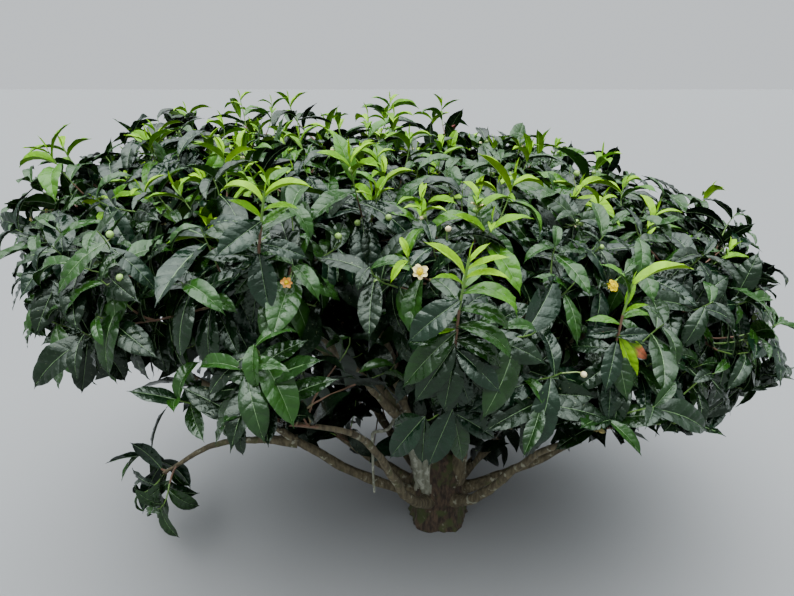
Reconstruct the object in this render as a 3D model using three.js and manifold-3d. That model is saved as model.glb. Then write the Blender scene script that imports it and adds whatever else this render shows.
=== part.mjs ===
// An old tea bush with a short trunk, spreading boughs and a broad, flat-topped crown.
// Millimetres, +Z up. The origin is the middle of the trunk's flat cut at ground level.
// The front, where the crown is open and the bare stems show, faces -Y.
import * as THREE from "three";
import { mergeVertices } from "three/addons/utils/BufferGeometryUtils.js";
import Module from "manifold-3d";

const wasm = await Module();
wasm.setup();

// The crown's skin, which the shoot tips reach: a flattened dome that leans a little off its trunk.
const CROWN_MIDDLE = new THREE.Vector3(-105, 90, 765);
const CROWN_HALF_WIDTH = 975;
const CROWN_HALF_DEPTH = 770;
const CROWN_RISE = 345;
const CROWN_FRONT_DROP = -40;
const CROWN_BACK_DROP = 230;
const CROWN_OPENS_TO = -1.85;
const CROWN_FALL_TO_RIGHT = 0.1;
const CROWN_RISE_TO_BACK = 0.05;
const CROWN_SQUARENESS = 0.62;
const SKIRT_LATITUDE = -0.85;
const SKIN_SCATTER = 38;

// The hollows in the front of the crown, without shoot tips, where the bare stems and the trunk show.
const HOLLOWS = [
  { middle: new THREE.Vector3(-215, -560, 705), reach: 200 },
  { middle: new THREE.Vector3(10, -540, 560), reach: 200 },
];

// Trunk.
const TRUNK_HEIGHT = 250;
const TRUNK_RADIUS = 70;
const ROOT_FLARE = 24;
const ROOT_FLARE_HEIGHT = 55;
const TRUNK_LOBES = 5;
const TRUNK_LOBE_DEPTH = 0.07;
const TRUNK_LEAN = new THREE.Vector2(-12, 6);
const TRUNK_SHOULDER_HEIGHT = 257.5;
const TRUNK_SHOULDER_SHARPNESS = 6;
const TRUNK_SIDES = 16;
const TRUNK_STEPS = 7;

// Boughs.
const BOUGH_SIDES = 6;
const BOUGH_STEPS = 5;
const BOUGH_TIP_RADIUS = 7;
const INNER_FOOT = { out: 44, z: 152, radius: 22, rise: 1.2 };
const LOWER_FOOT = { out: 44, z: 88, radius: 17, rise: 0.42 };
const UPPER_FOOT = { radius: 14, along: [0.48, 0.34] };
const LOW_SPRAY_FOOT = { radius: 11, along: 0.55, rise: 0.1 };
const CLEARANCE = 0.3;
const STEM_GAP = 0.4;
const SMALLEST_EDGE = 0.05;

// Foliage. Angles are in radians, and shares run from 0 at a stem's or twig's foot to 1 at its tip.
const SHOOT_COUNT = 120;
const LEADING_SHOOT_ROOM = 90;
const SHOOT_RISE = { middle: 0.75, least: 0.2, most: 1.5, leading: 3.5 };
const LEAVES_A_SHOOT = 5;
const LEAF_TRIES = 9;
const LEAFY_SHARE = 0.66;
const GOLDEN_ANGLE = Math.PI * (3 - Math.sqrt(5));
const YOUNG_LEAF = { length: 135, broad: 0.4, spread: 0.6, droop: 0.05 };
const OLD_LEAF = { length: 185, broad: 0.5, spread: 1.35, droop: 0.85 };
const LEAF_THICKNESS = 5;
const LEAF_THICKEST = 0.13;
const LEAF_WIDEST = 0.46;
const LEAF_FOLD = 0.07;
const LEAF_AGING = 1.6;
const STEM_END_RADIUS = 4.5;
const STEM_SIDES = 5;
const STEM_STEPS = 3;
const STEM_REACH = 0.58;
const TWIG_RADIUS = 4;
const TWIG_TIP_RADIUS = 2.4;
const TWIG_SIDES = 3;
const TWIG_STEPS = 3;
const TWIG_PULL = 0.33;
const TWIG_FEET = [0.3, 0.97];
const FIRST_LEAF_PLACE = 0.95;
const FLOWER_RADIUS = 15;
const FLOWER_DROP = 10.5;
const FLOWER_EVERY = 11;
const FLOWER_PLACE = 0.62;

// Rings of foliage masses, from the top down. out is the share of the crown's half size, and follow is the
// share of the skirt's drop that the ring goes down with it. Each mass's bough ends short of the middle of the
// mass by stem, where it climbs at the angle rise.
const MASS_RINGS = [
  { name: "inner", count: 4, out: 0.33, z: 950, turn: 0.95, follow: 0, stem: 250, rise: 1.15 },
  { name: "upper", count: 8, out: 0.72, z: 910, turn: 0.25, follow: 0, stem: 210, rise: 0.75 },
  { name: "lower", count: 8, out: 0.86, z: 700, turn: 0.55, follow: 0.5, stem: 190, rise: 0.7 },
];
const LOW_SPRAY = { name: "low", middle: new THREE.Vector3(-790, -90, 235), stem: 60, rise: -0.6 };
const LOW_SPRAY_TIPS = [
  new THREE.Vector3(-880, -120, 175),
  new THREE.Vector3(-800, -210, 190),
  new THREE.Vector3(-900, 10, 235),
];

// Shoots that stand out of the crown: the tips of the tallest and foremost ones.
const LEADING_TIPS = [
  new THREE.Vector3(-21, -690, 1055),
  new THREE.Vector3(-370, -590, 1120),
  new THREE.Vector3(300, -580, 960),
  new THREE.Vector3(-957, -27, 1150),
  new THREE.Vector3(-515, 700, 1215),
  new THREE.Vector3(-330, 560, 1165),
];

const BARK = new THREE.MeshStandardMaterial({ name: "bark", color: 0x5b4a35, roughness: 0.9 });
const STEM_BARK = new THREE.MeshStandardMaterial({ name: "stem_bark", color: 0x7d7a5a, roughness: 0.85 });
const FOLIAGE = new THREE.MeshStandardMaterial({ name: "foliage", color: 0x1f4a24, roughness: 0.4 });

// A repeatable number from 0 to 1 for one item and one purpose.
function chance(item, purpose) {
  const wave = Math.sin(item * 12.9898 + purpose * 78.233) * 43758.5453;
  return wave - Math.floor(wave);
}

const between = (start, end, share) => start + (end - start) * share;

function solidOf(geometry) {
  const bare = geometry.index ? geometry.toNonIndexed() : geometry.clone();
  bare.deleteAttribute("normal");
  bare.deleteAttribute("uv");
  const merged = mergeVertices(bare, 1e-4);
  const mesh = new wasm.Mesh({
    numProp: 3,
    vertProperties: new Float32Array(merged.attributes.position.array),
    triVerts: new Uint32Array(merged.index.array),
  });
  return new wasm.Manifold(mesh);
}

function geometryOf(solid) {
  const mesh = solid.getMesh();
  const positions = new Float32Array(mesh.numVert * 3);
  for (let i = 0; i < mesh.numVert; i++) {
    positions.set(mesh.vertProperties.subarray(i * mesh.numProp, i * mesh.numProp + 3), i * 3);
  }
  const geometry = new THREE.BufferGeometry();
  geometry.setAttribute("position", new THREE.BufferAttribute(positions, 3));
  geometry.setIndex(new THREE.BufferAttribute(new Uint32Array(mesh.triVerts), 1));
  geometry.computeVertexNormals();
  return geometry;
}

// A closed tube along a curve, whose radius goes from one end's to the other's.
function taperedTube(curve, startRadius, endRadius, sides, steps) {
  const tube = new THREE.CylinderGeometry(1, 1, 1, sides, steps);
  const frames = curve.computeFrenetFrames(steps);
  const place = tube.attributes.position;
  for (let i = 0; i < place.count; i++) {
    const step = Math.round((place.getY(i) + 0.5) * steps);
    const radius = between(startRadius, endRadius, step / steps);
    const point = curve.getPointAt(step / steps);
    point.addScaledVector(frames.binormals[step], place.getX(i) * radius);
    point.addScaledVector(frames.normals[step], place.getZ(i) * radius);
    place.setXYZ(i, point.x, point.y, point.z);
  }
  return solidOf(tube);
}

// A smooth curve that leaves one point and reaches the other in the given directions.
function bend(start, startDirection, end, endDirection, pull = 0.38) {
  const handle = start.distanceTo(end) * pull;
  return new THREE.CubicBezierCurve3(
    start,
    start.clone().addScaledVector(startDirection, handle),
    end.clone().addScaledVector(endDirection, -handle),
    end,
  );
}

const heading = (azimuth, elevation) =>
  new THREE.Vector3(
    Math.cos(azimuth) * Math.cos(elevation),
    Math.sin(azimuth) * Math.cos(elevation),
    Math.sin(elevation),
  );

// The trunk's radius towards one side, with root lobes that fade upwards and a rounded shoulder.
function trunkRadius(azimuth, height) {
  const flare = ROOT_FLARE * Math.exp(-height / ROOT_FLARE_HEIGHT);
  const lobes = 1 + TRUNK_LOBE_DEPTH * Math.sin(TRUNK_LOBES * azimuth) * (1 - height / TRUNK_HEIGHT);
  const shoulder = Math.sqrt(1 - (height / TRUNK_SHOULDER_HEIGHT) ** TRUNK_SHOULDER_SHARPNESS);
  return (TRUNK_RADIUS + flare) * lobes * shoulder;
}

// The trunk, grown all round by a margin where it cuts the boughs.
function trunkSolid(margin) {
  const drum = new THREE.CylinderGeometry(1, 1, 1, TRUNK_SIDES, TRUNK_STEPS);
  const place = drum.attributes.position;
  for (let i = 0; i < place.count; i++) {
    const share = place.getY(i) + 0.5;
    const height = share * TRUNK_HEIGHT;
    const azimuth = Math.atan2(-place.getZ(i), place.getX(i));
    const size = Math.hypot(place.getX(i), place.getZ(i));
    const radius = size * (trunkRadius(azimuth, height) + margin);
    place.setXYZ(
      i,
      radius * Math.cos(azimuth) + TRUNK_LEAN.x * share,
      radius * Math.sin(azimuth) + TRUNK_LEAN.y * share,
      height + (share === 1 ? margin : 0),
    );
  }
  return solidOf(drum);
}

// How far the skirt hangs below the crown's middle: least at the open front, most at the back.
const dropAt = (azimuth) =>
  between(CROWN_BACK_DROP, CROWN_FRONT_DROP, (1 + Math.cos(azimuth - CROWN_OPENS_TO)) / 2);

// How much higher the tilted crown is at a place than in its middle.
const tiltAt = (x, y) => CROWN_RISE_TO_BACK * y - CROWN_FALL_TO_RIGHT * x;

// A point of the crown's skin, by azimuth and by latitude from the skirt to the top.
function skinPoint(azimuth, latitude) {
  const out = Math.cos(latitude) ** CROWN_SQUARENESS;
  const up = Math.abs(Math.sin(latitude)) ** CROWN_SQUARENESS;
  const x = CROWN_HALF_WIDTH * out * Math.cos(azimuth);
  const y = CROWN_HALF_DEPTH * out * Math.sin(azimuth);
  const z = latitude > 0 ? CROWN_RISE * up : -dropAt(azimuth) * up;
  return new THREE.Vector3(x, y, z + tiltAt(x, y)).add(CROWN_MIDDLE);
}

// Latitudes from the top down that share the skin's area evenly.
function evenLatitudes(count) {
  const slices = 400;
  const radius = (CROWN_HALF_WIDTH + CROWN_HALF_DEPTH) / 2;
  const latitudeAt = (slice) => between(Math.PI / 2, SKIRT_LATITUDE, slice / slices);
  const profile = (latitude) => ({
    r: radius * Math.cos(latitude) ** CROWN_SQUARENESS,
    z: (latitude > 0 ? CROWN_RISE : -dropAt(0)) * Math.abs(Math.sin(latitude)) ** CROWN_SQUARENESS,
  });
  const areas = [0];
  for (let slice = 1; slice <= slices; slice++) {
    const above = profile(latitudeAt(slice - 1));
    const below = profile(latitudeAt(slice));
    const slant = Math.hypot(above.r - below.r, above.z - below.z);
    areas.push(areas[slice - 1] + ((above.r + below.r) / 2) * slant);
  }
  return Array.from({ length: count }, (_, i) => {
    const wanted = (areas[slices] * (i + 0.5)) / count;
    return latitudeAt(areas.findIndex((area) => area >= wanted));
  });
}

// The tips of the shoots: an even spiral over the crown, scattered a little, and the leading ones.
function shootTips() {
  const spiral = evenLatitudes(SHOOT_COUNT).map((latitude, i) => {
    const tip = skinPoint(i * GOLDEN_ANGLE, latitude);
    const scatter = [0, 1, 2].map((purpose) => SKIN_SCATTER * (2 * chance(i, purpose) - 1));
    return tip.add(new THREE.Vector3(...scatter));
  });
  const open = spiral.filter(
    (tip) =>
      HOLLOWS.every((hollow) => hollow.middle.distanceTo(tip) > hollow.reach) &&
      LEADING_TIPS.every((leader) => leader.distanceTo(tip) > LEADING_SHOOT_ROOM),
  );
  return [...LEADING_TIPS, ...open];
}

// The way a shoot points at its tip: out of the crown's side, and upwards, least so on the skirt.
// The leading shoots stand nearly upright.
function shootDirection(tip) {
  const out = new THREE.Vector3(
    (tip.x - CROWN_MIDDLE.x) / CROWN_HALF_WIDTH,
    (tip.y - CROWN_MIDDLE.y) / CROWN_HALF_DEPTH,
    0,
  );
  const height = (tip.z - CROWN_MIDDLE.z) / CROWN_RISE;
  out.z = THREE.MathUtils.clamp(SHOOT_RISE.middle * (1 + height), SHOOT_RISE.least, SHOOT_RISE.most);
  if (LEADING_TIPS.includes(tip)) out.z = SHOOT_RISE.leading;
  return out.normalize();
}

// The foliage masses' middles. Each mass keeps to the space that is nearer its own middle than any other's.
function massList() {
  const masses = MASS_RINGS.flatMap((ring) =>
    Array.from({ length: ring.count }, (_, k) => {
      const azimuth = ring.turn + (2 * Math.PI * k) / ring.count;
      const x = CROWN_HALF_WIDTH * ring.out * Math.cos(azimuth);
      const y = CROWN_HALF_DEPTH * ring.out * Math.sin(azimuth);
      const z = ring.z - ring.follow * dropAt(azimuth) + tiltAt(x, y);
      const middle = new THREE.Vector3(CROWN_MIDDLE.x + x, CROWN_MIDDLE.y + y, z);
      return { name: `${ring.name}_${k + 1}`, ring, number: k, middle, tips: [] };
    }),
  );
  const { middle } = LOW_SPRAY;
  masses.push({ name: "low_spray", ring: LOW_SPRAY, number: 0, middle, tips: [...LOW_SPRAY_TIPS] });
  for (const tip of shootTips()) {
    const distances = masses.map((mass) => mass.middle.distanceTo(tip));
    masses[distances.indexOf(Math.min(...distances))].tips.push(tip);
  }
  return masses;
}

// The mass of one ring whose middle is nearest to a point.
function nearestOf(masses, ringName, point) {
  const ringMasses = masses.filter((mass) => mass.ring.name === ringName);
  const distances = ringMasses.map((mass) => mass.middle.distanceTo(point));
  return ringMasses[distances.indexOf(Math.min(...distances))];
}

// The bough of each mass: its curve, its start radius and, where it leaves another bough, that bough's mass.
function boughOf(mass, masses) {
  const outwards = Math.atan2(mass.middle.y, mass.middle.x);
  const arriving = heading(outwards, mass.ring.rise);
  const end = mass.middle.clone().addScaledVector(arriving, -mass.ring.stem);
  const fromTrunk = (foot) => {
    const start = heading(outwards, 0).multiplyScalar(foot.out).setZ(foot.z);
    return { curve: bend(start, heading(outwards, foot.rise), end, arriving), radius: foot.radius };
  };
  if (mass.ring.name === "inner") return fromTrunk(INNER_FOOT);
  if (mass.ring.name === "lower") return fromTrunk(LOWER_FOOT);
  if (mass.ring.name === "upper") {
    const parent = nearestOf(masses, "inner", mass.middle);
    const start = parent.bough.curve.getPoint(UPPER_FOOT.along[mass.number % 2]);
    const leaving = mass.middle.clone().sub(start).normalize();
    return { curve: bend(start, leaving, end, arriving), radius: UPPER_FOOT.radius, parent };
  }
  const parent = nearestOf(masses, "lower", mass.middle);
  const start = parent.bough.curve.getPoint(LOW_SPRAY_FOOT.along);
  const curve = bend(start, heading(outwards, LOW_SPRAY_FOOT.rise), end, arriving);
  return { curve, radius: LOW_SPRAY_FOOT.radius, parent };
}

// A bough, grown all round by a margin where it cuts the boughs that leave it.
const boughTube = ({ curve, radius }, margin) =>
  taperedTube(curve, radius + margin, BOUGH_TIP_RADIUS + margin, BOUGH_SIDES, BOUGH_STEPS);

// True if a point is inside the mass's own space, clear of its borders.
function inSpace(point, mass, masses) {
  return masses.every((other) => {
    if (other === mass) return true;
    const apart = other.middle.distanceTo(mass.middle);
    const beyond = point.distanceToSquared(other.middle) - point.distanceToSquared(mass.middle);
    return beyond / (2 * apart) > CLEARANCE;
  });
}

function boxesMeet(a, b) {
  const first = a.boundingBox();
  const second = b.boundingBox();
  return [0, 1, 2].every((k) => first.min[k] - 1 < second.max[k] && second.min[k] - 1 < first.max[k]);
}

const largestPiece = (solid) => solid.decompose().sort((a, b) => b.volume() - a.volume())[0];

const clearOf = (solid, others) =>
  others.every((other) => !boxesMeet(solid, other) || solid.minGap(other, 1) > CLEARANCE);

// The direction out of one flat side of a three-sided twig, at a share of its length.
function sideOf(twig, share, side) {
  const step = Math.round(share * TWIG_STEPS);
  const turn = (Math.PI / 3) * (2 * side + 1);
  const outwards = twig.frames.binormals[step].clone().multiplyScalar(Math.sin(turn));
  return outwards.addScaledVector(twig.frames.normals[step], Math.cos(turn));
}

// A leaf: a thin blade of eight faces, folded a little along its midrib, whose root lies inside its twig.
function leaf(root, twigDirection, across, age) {
  const length = between(YOUNG_LEAF.length, OLD_LEAF.length, age);
  const width = length * between(YOUNG_LEAF.broad, OLD_LEAF.broad, age);
  const spread = between(YOUNG_LEAF.spread, OLD_LEAF.spread, age);
  const droop = between(YOUNG_LEAF.droop, OLD_LEAF.droop, age);
  const run = twigDirection.clone().multiplyScalar(Math.cos(spread));
  run.addScaledVector(across, Math.sin(spread));
  run.z -= droop * (1 - Math.max(0, across.z));
  run.normalize();
  const face = new THREE.Vector3(0, 0, 1).addScaledVector(across, 0.6);
  face.addScaledVector(run, -face.dot(run)).normalize();
  const side = run.clone().cross(face);
  const blade = new THREE.OctahedronGeometry(1, 0);
  const place = blade.attributes.position;
  for (let i = 0; i < place.count; i++) {
    const [x, y, z] = [place.getX(i), place.getY(i), place.getZ(i)].map(Math.round);
    const along = x !== 0 ? LEAF_WIDEST : z !== 0 ? LEAF_THICKEST : (y + 1) / 2;
    const point = root.clone().addScaledVector(run, along * length);
    point.addScaledVector(side, (x * width) / 2);
    point.addScaledVector(face, Math.abs(x) * LEAF_FOLD * length + (z * LEAF_THICKNESS) / 2);
    place.setXYZ(i, point.x, point.y, point.z);
  }
  const [tip, left, right] = [
    root.clone().addScaledVector(run, length),
    root.clone().addScaledVector(run, LEAF_WIDEST * length).addScaledVector(side, -width / 2),
    root.clone().addScaledVector(run, LEAF_WIDEST * length).addScaledVector(side, width / 2),
  ];
  for (const edge of [left, right]) edge.addScaledVector(face, LEAF_FOLD * length);
  return { solid: solidOf(blade), corners: [tip, left, right] };
}

// A flower: a globe that hangs under its twig and holds on to it.
function flower(point) {
  const globe = new THREE.IcosahedronGeometry(FLOWER_RADIUS, 0);
  globe.translate(point.x, point.y, point.z - FLOWER_DROP);
  return solidOf(globe);
}

// The stem of a mass: it goes on from the bough towards the middle of the shoot tips.
function stemOf(mass) {
  const { curve } = mass.bough;
  const onward = curve.getTangent(1);
  const start = curve.getPoint(1).addScaledVector(onward, STEM_GAP);
  const sum = mass.tips.reduce((total, tip) => total.add(tip), new THREE.Vector3());
  const middle = sum.divideScalar(mass.tips.length);
  const end = start.clone().lerp(middle, STEM_REACH);
  return bend(start, onward, end, end.clone().sub(start).normalize());
}

// The twigs of a mass: one from the stem to each shoot tip, the nearest tips' first.
function twigsOf(mass, stem, masses, limbs) {
  const start = stem.getPoint(0);
  const tips = [...mass.tips].sort((a, b) => a.distanceTo(start) - b.distanceTo(start));
  const twigs = tips.map((tip, i) => {
    const share = between(...TWIG_FEET, (i + 0.5) / tips.length);
    const foot = stem.getPoint(share);
    const leaving = stem.getTangent(share).add(tip.clone().sub(foot).normalize()).normalize();
    const curve = bend(foot, leaving, tip, shootDirection(tip), TWIG_PULL);
    const solid = taperedTube(curve, TWIG_RADIUS, TWIG_TIP_RADIUS, TWIG_SIDES, TWIG_STEPS);
    const frames = curve.computeFrenetFrames(TWIG_STEPS);
    return { curve, solid, frames, seed: Math.round(tip.x + 3 * tip.y) };
  });
  return twigs.filter(
    (twig) =>
      [0.25, 0.5, 0.75, 1].every((share) => inSpace(twig.curve.getPoint(share), mass, masses)) &&
      clearOf(twig.solid, limbs),
  );
}

// One mass: a stem, twigs, leaves round each twig from its tip down, and a flower under some of them.
function growMass(mass, masses, limbs) {
  const stem = stemOf(mass);
  const wood = taperedTube(stem, BOUGH_TIP_RADIUS, STEM_END_RADIUS, STEM_SIDES, STEM_STEPS);
  const twigs = twigsOf(mass, stem, masses, limbs);
  const leaves = [];
  const flowers = [];
  twigs.forEach((twig, k) => {
    const others = twigs.filter((other) => other !== twig).map((other) => other.solid);
    const firstSide = Math.floor(3 * chance(twig.seed, 5));
    let grown = 0;
    for (let j = 0; j < LEAF_TRIES && grown < LEAVES_A_SHOOT; j++) {
      const fromTip = j / (LEAF_TRIES - 1);
      const place = FIRST_LEAF_PLACE - LEAFY_SHARE * fromTip;
      const across = sideOf(twig, place, firstSide + j);
      const age = Math.min(1, fromTip * LEAF_AGING);
      const made = leaf(twig.curve.getPointAt(place), twig.curve.getTangentAt(place), across, age);
      const fits = made.corners.every((corner) => inSpace(corner, mass, masses));
      if (fits && clearOf(made.solid, [...limbs, ...leaves, ...others, wood])) {
        leaves.push(made.solid);
        grown++;
      }
    }
    if (k % FLOWER_EVERY === 2) {
      const bloom = flower(twig.curve.getPointAt(FLOWER_PLACE));
      if (clearOf(bloom, [...limbs, ...leaves])) flowers.push(bloom);
    }
  });
  const whole = wasm.Manifold.union([wood, ...twigs.map((twig) => twig.solid), ...leaves, ...flowers]);
  return largestPiece(whole.simplify(SMALLEST_EDGE));
}

const bush = new THREE.Group();

function addPiece(name, solid, material) {
  const mesh = new THREE.Mesh(geometryOf(solid), material);
  mesh.name = name;
  bush.add(mesh);
}

addPiece("trunk", trunkSolid(0), BARK);

const masses = massList();
const limbs = [trunkSolid(0)];
for (const mass of masses) {
  mass.bough = boughOf(mass, masses);
  const { parent } = mass.bough;
  const limb = boughTube(mass.bough, 0);
  const carrier = parent ? boughTube(parent.bough, CLEARANCE) : trunkSolid(CLEARANCE);
  const piece = largestPiece(limb.subtract(carrier));
  limbs.push(piece);
  addPiece(`bough_${mass.name}`, piece, STEM_BARK);
}
for (const mass of masses) addPiece(`foliage_${mass.name}`, growMass(mass, masses, limbs), FOLIAGE);

export default bush;
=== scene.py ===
"""A whole tea bush: a flared stump, spreading boughs, and a broad crown of glossy leafy shoots.

Metres, +Z up. The open front of the crown faces -Y. Growth follows the same rule as the solids that it
dresses: masses in rings, one bough to each, a stem that goes on from it, and a twig to each shoot tip. It is
carried on here to side shoots, leaves, buds, flowers and fruit.
"""

import math

import bpy
import numpy as np
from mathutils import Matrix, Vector, noise


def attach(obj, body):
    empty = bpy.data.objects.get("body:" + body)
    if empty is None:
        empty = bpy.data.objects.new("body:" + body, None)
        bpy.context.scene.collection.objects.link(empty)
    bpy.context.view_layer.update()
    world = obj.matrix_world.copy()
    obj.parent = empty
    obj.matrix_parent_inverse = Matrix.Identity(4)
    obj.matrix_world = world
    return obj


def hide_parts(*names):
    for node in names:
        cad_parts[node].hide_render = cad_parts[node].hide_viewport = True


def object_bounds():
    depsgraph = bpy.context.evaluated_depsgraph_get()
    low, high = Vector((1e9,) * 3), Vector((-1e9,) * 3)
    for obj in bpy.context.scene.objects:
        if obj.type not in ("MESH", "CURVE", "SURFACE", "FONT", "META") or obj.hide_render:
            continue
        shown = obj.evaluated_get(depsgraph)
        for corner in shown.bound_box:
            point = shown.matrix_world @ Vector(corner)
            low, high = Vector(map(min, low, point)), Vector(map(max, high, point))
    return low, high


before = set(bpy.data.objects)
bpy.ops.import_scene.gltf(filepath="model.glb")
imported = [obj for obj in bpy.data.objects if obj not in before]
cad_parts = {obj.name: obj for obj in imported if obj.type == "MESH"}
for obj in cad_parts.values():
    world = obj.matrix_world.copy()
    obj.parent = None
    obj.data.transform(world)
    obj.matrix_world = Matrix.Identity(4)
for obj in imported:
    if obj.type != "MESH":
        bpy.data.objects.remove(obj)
cad_low, cad_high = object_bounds()

FULL_TURN = 2 * math.pi
GOLDEN_ANGLE = math.pi * (3 - math.sqrt(5))
SEED = 20

# The crown's skin, which the shoot tips reach.
CROWN_MIDDLE = np.array([-0.105, 0.090, 0.765])
CROWN_HALF_WIDTH = 0.975
CROWN_HALF_DEPTH = 0.770
CROWN_RISE = 0.345
CROWN_HALF_SIZE = np.array([CROWN_HALF_WIDTH, CROWN_HALF_DEPTH, CROWN_RISE])
CROWN_FRONT_DROP = -0.040
CROWN_BACK_DROP = 0.230
CROWN_OPENS_TO = -1.85
CROWN_FALL_TO_RIGHT = 0.1
CROWN_RISE_TO_BACK = 0.05
CROWN_SQUARENESS = 0.62
SKIRT_LATITUDE = -0.85
SKIN_SLICES = 400
SKIN_SCATTER = 0.038
SHOOT_COUNT = 120
LEADING_SHOOT_ROOM = 0.090
SHOOT_RISE = {"middle": 0.75, "least": 0.2, "most": 1.5, "leading": 3.5}

# The hollows in the front of the crown, without shoot tips, where the bare stems and the trunk show. Each
# has a middle and a reach.
HOLLOWS = [((-0.215, -0.560, 0.705), 0.200), ((0.010, -0.540, 0.560), 0.200)]
SIDE_HOLLOWS = [((-0.200, -0.600, 0.790), 0.190), ((0.030, -0.620, 0.660), 0.200)]

# Trunk.
TRUNK_HEIGHT = 0.250
TRUNK_RADIUS = 0.070
ROOT_FLARE = 0.024
ROOT_FLARE_HEIGHT = 0.055
TRUNK_LOBES = 5
TRUNK_LOBE_DEPTH = 0.07
TRUNK_LEAN = np.array([-0.012, 0.006])
TRUNK_SHOULDER_HEIGHT = 0.2575
TRUNK_SHOULDER_SHARPNESS = 6

# Boughs.
BOUGH_TIP_RADIUS = 0.007
INNER_FOOT = {"out": 0.044, "z": 0.152, "radius": 0.022, "rise": 1.2}
LOWER_FOOT = {"out": 0.044, "z": 0.088, "radius": 0.017, "rise": 0.42}
UPPER_FOOT = {"radius": 0.014, "along": (0.48, 0.34)}
LOW_SPRAY_FOOT = {"radius": 0.011, "along": 0.55, "rise": 0.1}
STEM_GAP = 0.0004
STEM_REACH = 0.58
STEM_END_RADIUS = 0.0045
TWIG_FEET = (0.3, 0.97)
TWIG_PULL = 0.33
BEND_PULL = 0.38
BEND_SAMPLES = np.linspace(0, 1, 60)
TANGENT_STEP = 1e-3

# Rings of foliage masses, from the top down. out is the share of the crown's half size, and follow the share
# of the skirt's drop that the ring goes down with it. Each bough ends short of its mass's middle by stem.
MASS_RINGS = [
    dict(name="inner", count=4, out=0.33, z=0.950, turn=0.95, follow=0, stem=0.250, rise=1.15),
    dict(name="upper", count=8, out=0.72, z=0.910, turn=0.25, follow=0, stem=0.210, rise=0.75),
    dict(name="lower", count=8, out=0.86, z=0.700, turn=0.55, follow=0.5, stem=0.190, rise=0.7),
]
LOW_SPRAY = dict(name="low", middle=(-0.790, -0.090, 0.235), stem=0.060, rise=-0.6)
LOW_SPRAY_TIPS = [(-0.880, -0.120, 0.175), (-0.800, -0.210, 0.190), (-0.900, 0.010, 0.235)]
LEADING_TIPS = [
    (-0.021, -0.690, 1.055),
    (-0.370, -0.590, 1.120),
    (0.300, -0.580, 0.960),
    (-0.957, -0.027, 1.150),
    (-0.515, 0.700, 1.215),
    (-0.330, 0.560, 1.165),
]

# Finer growth. Shares run from 0 at a shoot's foot to 1 at its tip, and angles are in radians.
OUTER_SHOOTS = dict(count=500, share=0.985, draw=60, feet=(0.3, 0.7))
INNER_SHOOTS = dict(count=340, share=0.76, draw=70, feet=(0.12, 0.4))
SIDE_SHOOT_SCATTER = 0.060
SIDE_SHOOT_ROOM = 0.035
SIDE_SHOOT_FOLLOWS = 1.2
LEADER_ROOM = 0.100
LEADER_SAMPLES = np.linspace(0.5, 1, 8)
FRONT_SKIRT_LIFT = 0.040
TALL_SHARE = 0.18
TALL_FROM = 0.88
TALL_LIFT = 0.6
TALL_EXTRA = (0.03, 0.09)
LOW_WHORLS = [(-0.079, -0.600, 0.737), (-0.028, -0.600, 0.752)]
WHORL_FOOT = 0.42
WHORL_RISING = (0, -0.25, 0.95)
FRONT_SPRAYS = dict(count=9, feet=(0.58, 0.97), lengths=(0.10, 0.24))
BACK_SPRAYS = dict(count=32, feet=(0.26, 0.97), lengths=(0.10, 0.30))
SPRAY_FOLLOWS = 0.6
SPRAY_LIFT = 0.5
SPRAY_FRONT = -0.16
TWIG_ROWS = 9
TWIG_SIDES = 5
TWIG_RADIUS = 0.0038
SHOOT_RADIUS = 0.0026
SHOOT_TIP_RADIUS = 0.0011
LEADER_RADII = (0.0046, 0.0022)
GREEN_FROM_TIP = 0.10
RED_FROM_TIP = 0.24
MASS_STEM_ROWS = 10
MASS_STEM_SIDES = 7
FLUSH_SHARES = ((0.98, 1.02, 1.07, 1.15), (0.0, 0.10, 0.32, 0.56))
TALL_FLUSH = (0.2, 1.4)

# The front leading shoots grow on twigs of their own, from a bough or a mass's stem.
FRONT_LEADERS = [
    dict(
        bearer="upper_7",
        on="bough",
        at=0.85,
        leaving=(-0.10, -0.97, -0.20),
        tip=(-0.021, -0.690, 1.072),
        rising=(0.14, -0.22, 0.96),
        pull=0.45,
    ),
    dict(
        bearer="upper_6",
        on="stem",
        at=0.60,
        leaving=(0.05, -0.70, 0.30),
        tip=(-0.342, -0.600, 1.152),
        rising=(0.22, -0.20, 0.95),
        pull=0.42,
    ),
    dict(
        bearer="lower_7",
        on="stem",
        at=0.70,
        leaving=(-0.10, -0.60, 0.50),
        tip=(0.274, -0.585, 0.992),
        rising=(0.12, -0.12, 0.98),
        pull=0.40,
    ),
]

# Each shoot has a seed of its own, and each repeatable number a purpose.
SEEDS = {"outer": 1, "inner": 1001, "twig": 3000, "spray": 7000, "whorl": 9000}
TWIG_SEEDS_A_MASS = 40
SPRAY_SEEDS_A_MASS = 50
FOOT_DRAW, TALL_DRAW, EXTRA_DRAW, FLUSH_DRAW, SPRAY_DRAW = 41, 43, 44, 91, 11
FRUIT_DRAW, BUD_DRAW, FLOWER_DRAW, BLOSSOM_FOOT_DRAW = 21, 22, 23, 5
WAVE = (12.9898, 78.233, 43758.5453)
OFF_AXIS = (0.31, 0.17, 0.93)
TUBE_OFF_AXIS = (0.3, 0.2, 1.0)


def chance(item, purpose):
    """A repeatable number from 0 to 1 for one item and one purpose."""
    wave = math.sin(item * WAVE[0] + purpose * WAVE[1]) * WAVE[2]
    return wave - math.floor(wave)


def between(start, end, share):
    return start + (end - start) * share


def gap(first, second):
    return np.linalg.norm(np.subtract(first, second))


def unit(vector):
    vector = np.asarray(vector, float)
    return vector / np.linalg.norm(vector)


def upwards(length):
    return np.array([0, 0, length])


def heading(azimuth, elevation):
    level = math.cos(elevation)
    return np.array([math.cos(azimuth) * level, math.sin(azimuth) * level, math.sin(elevation)])


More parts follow.
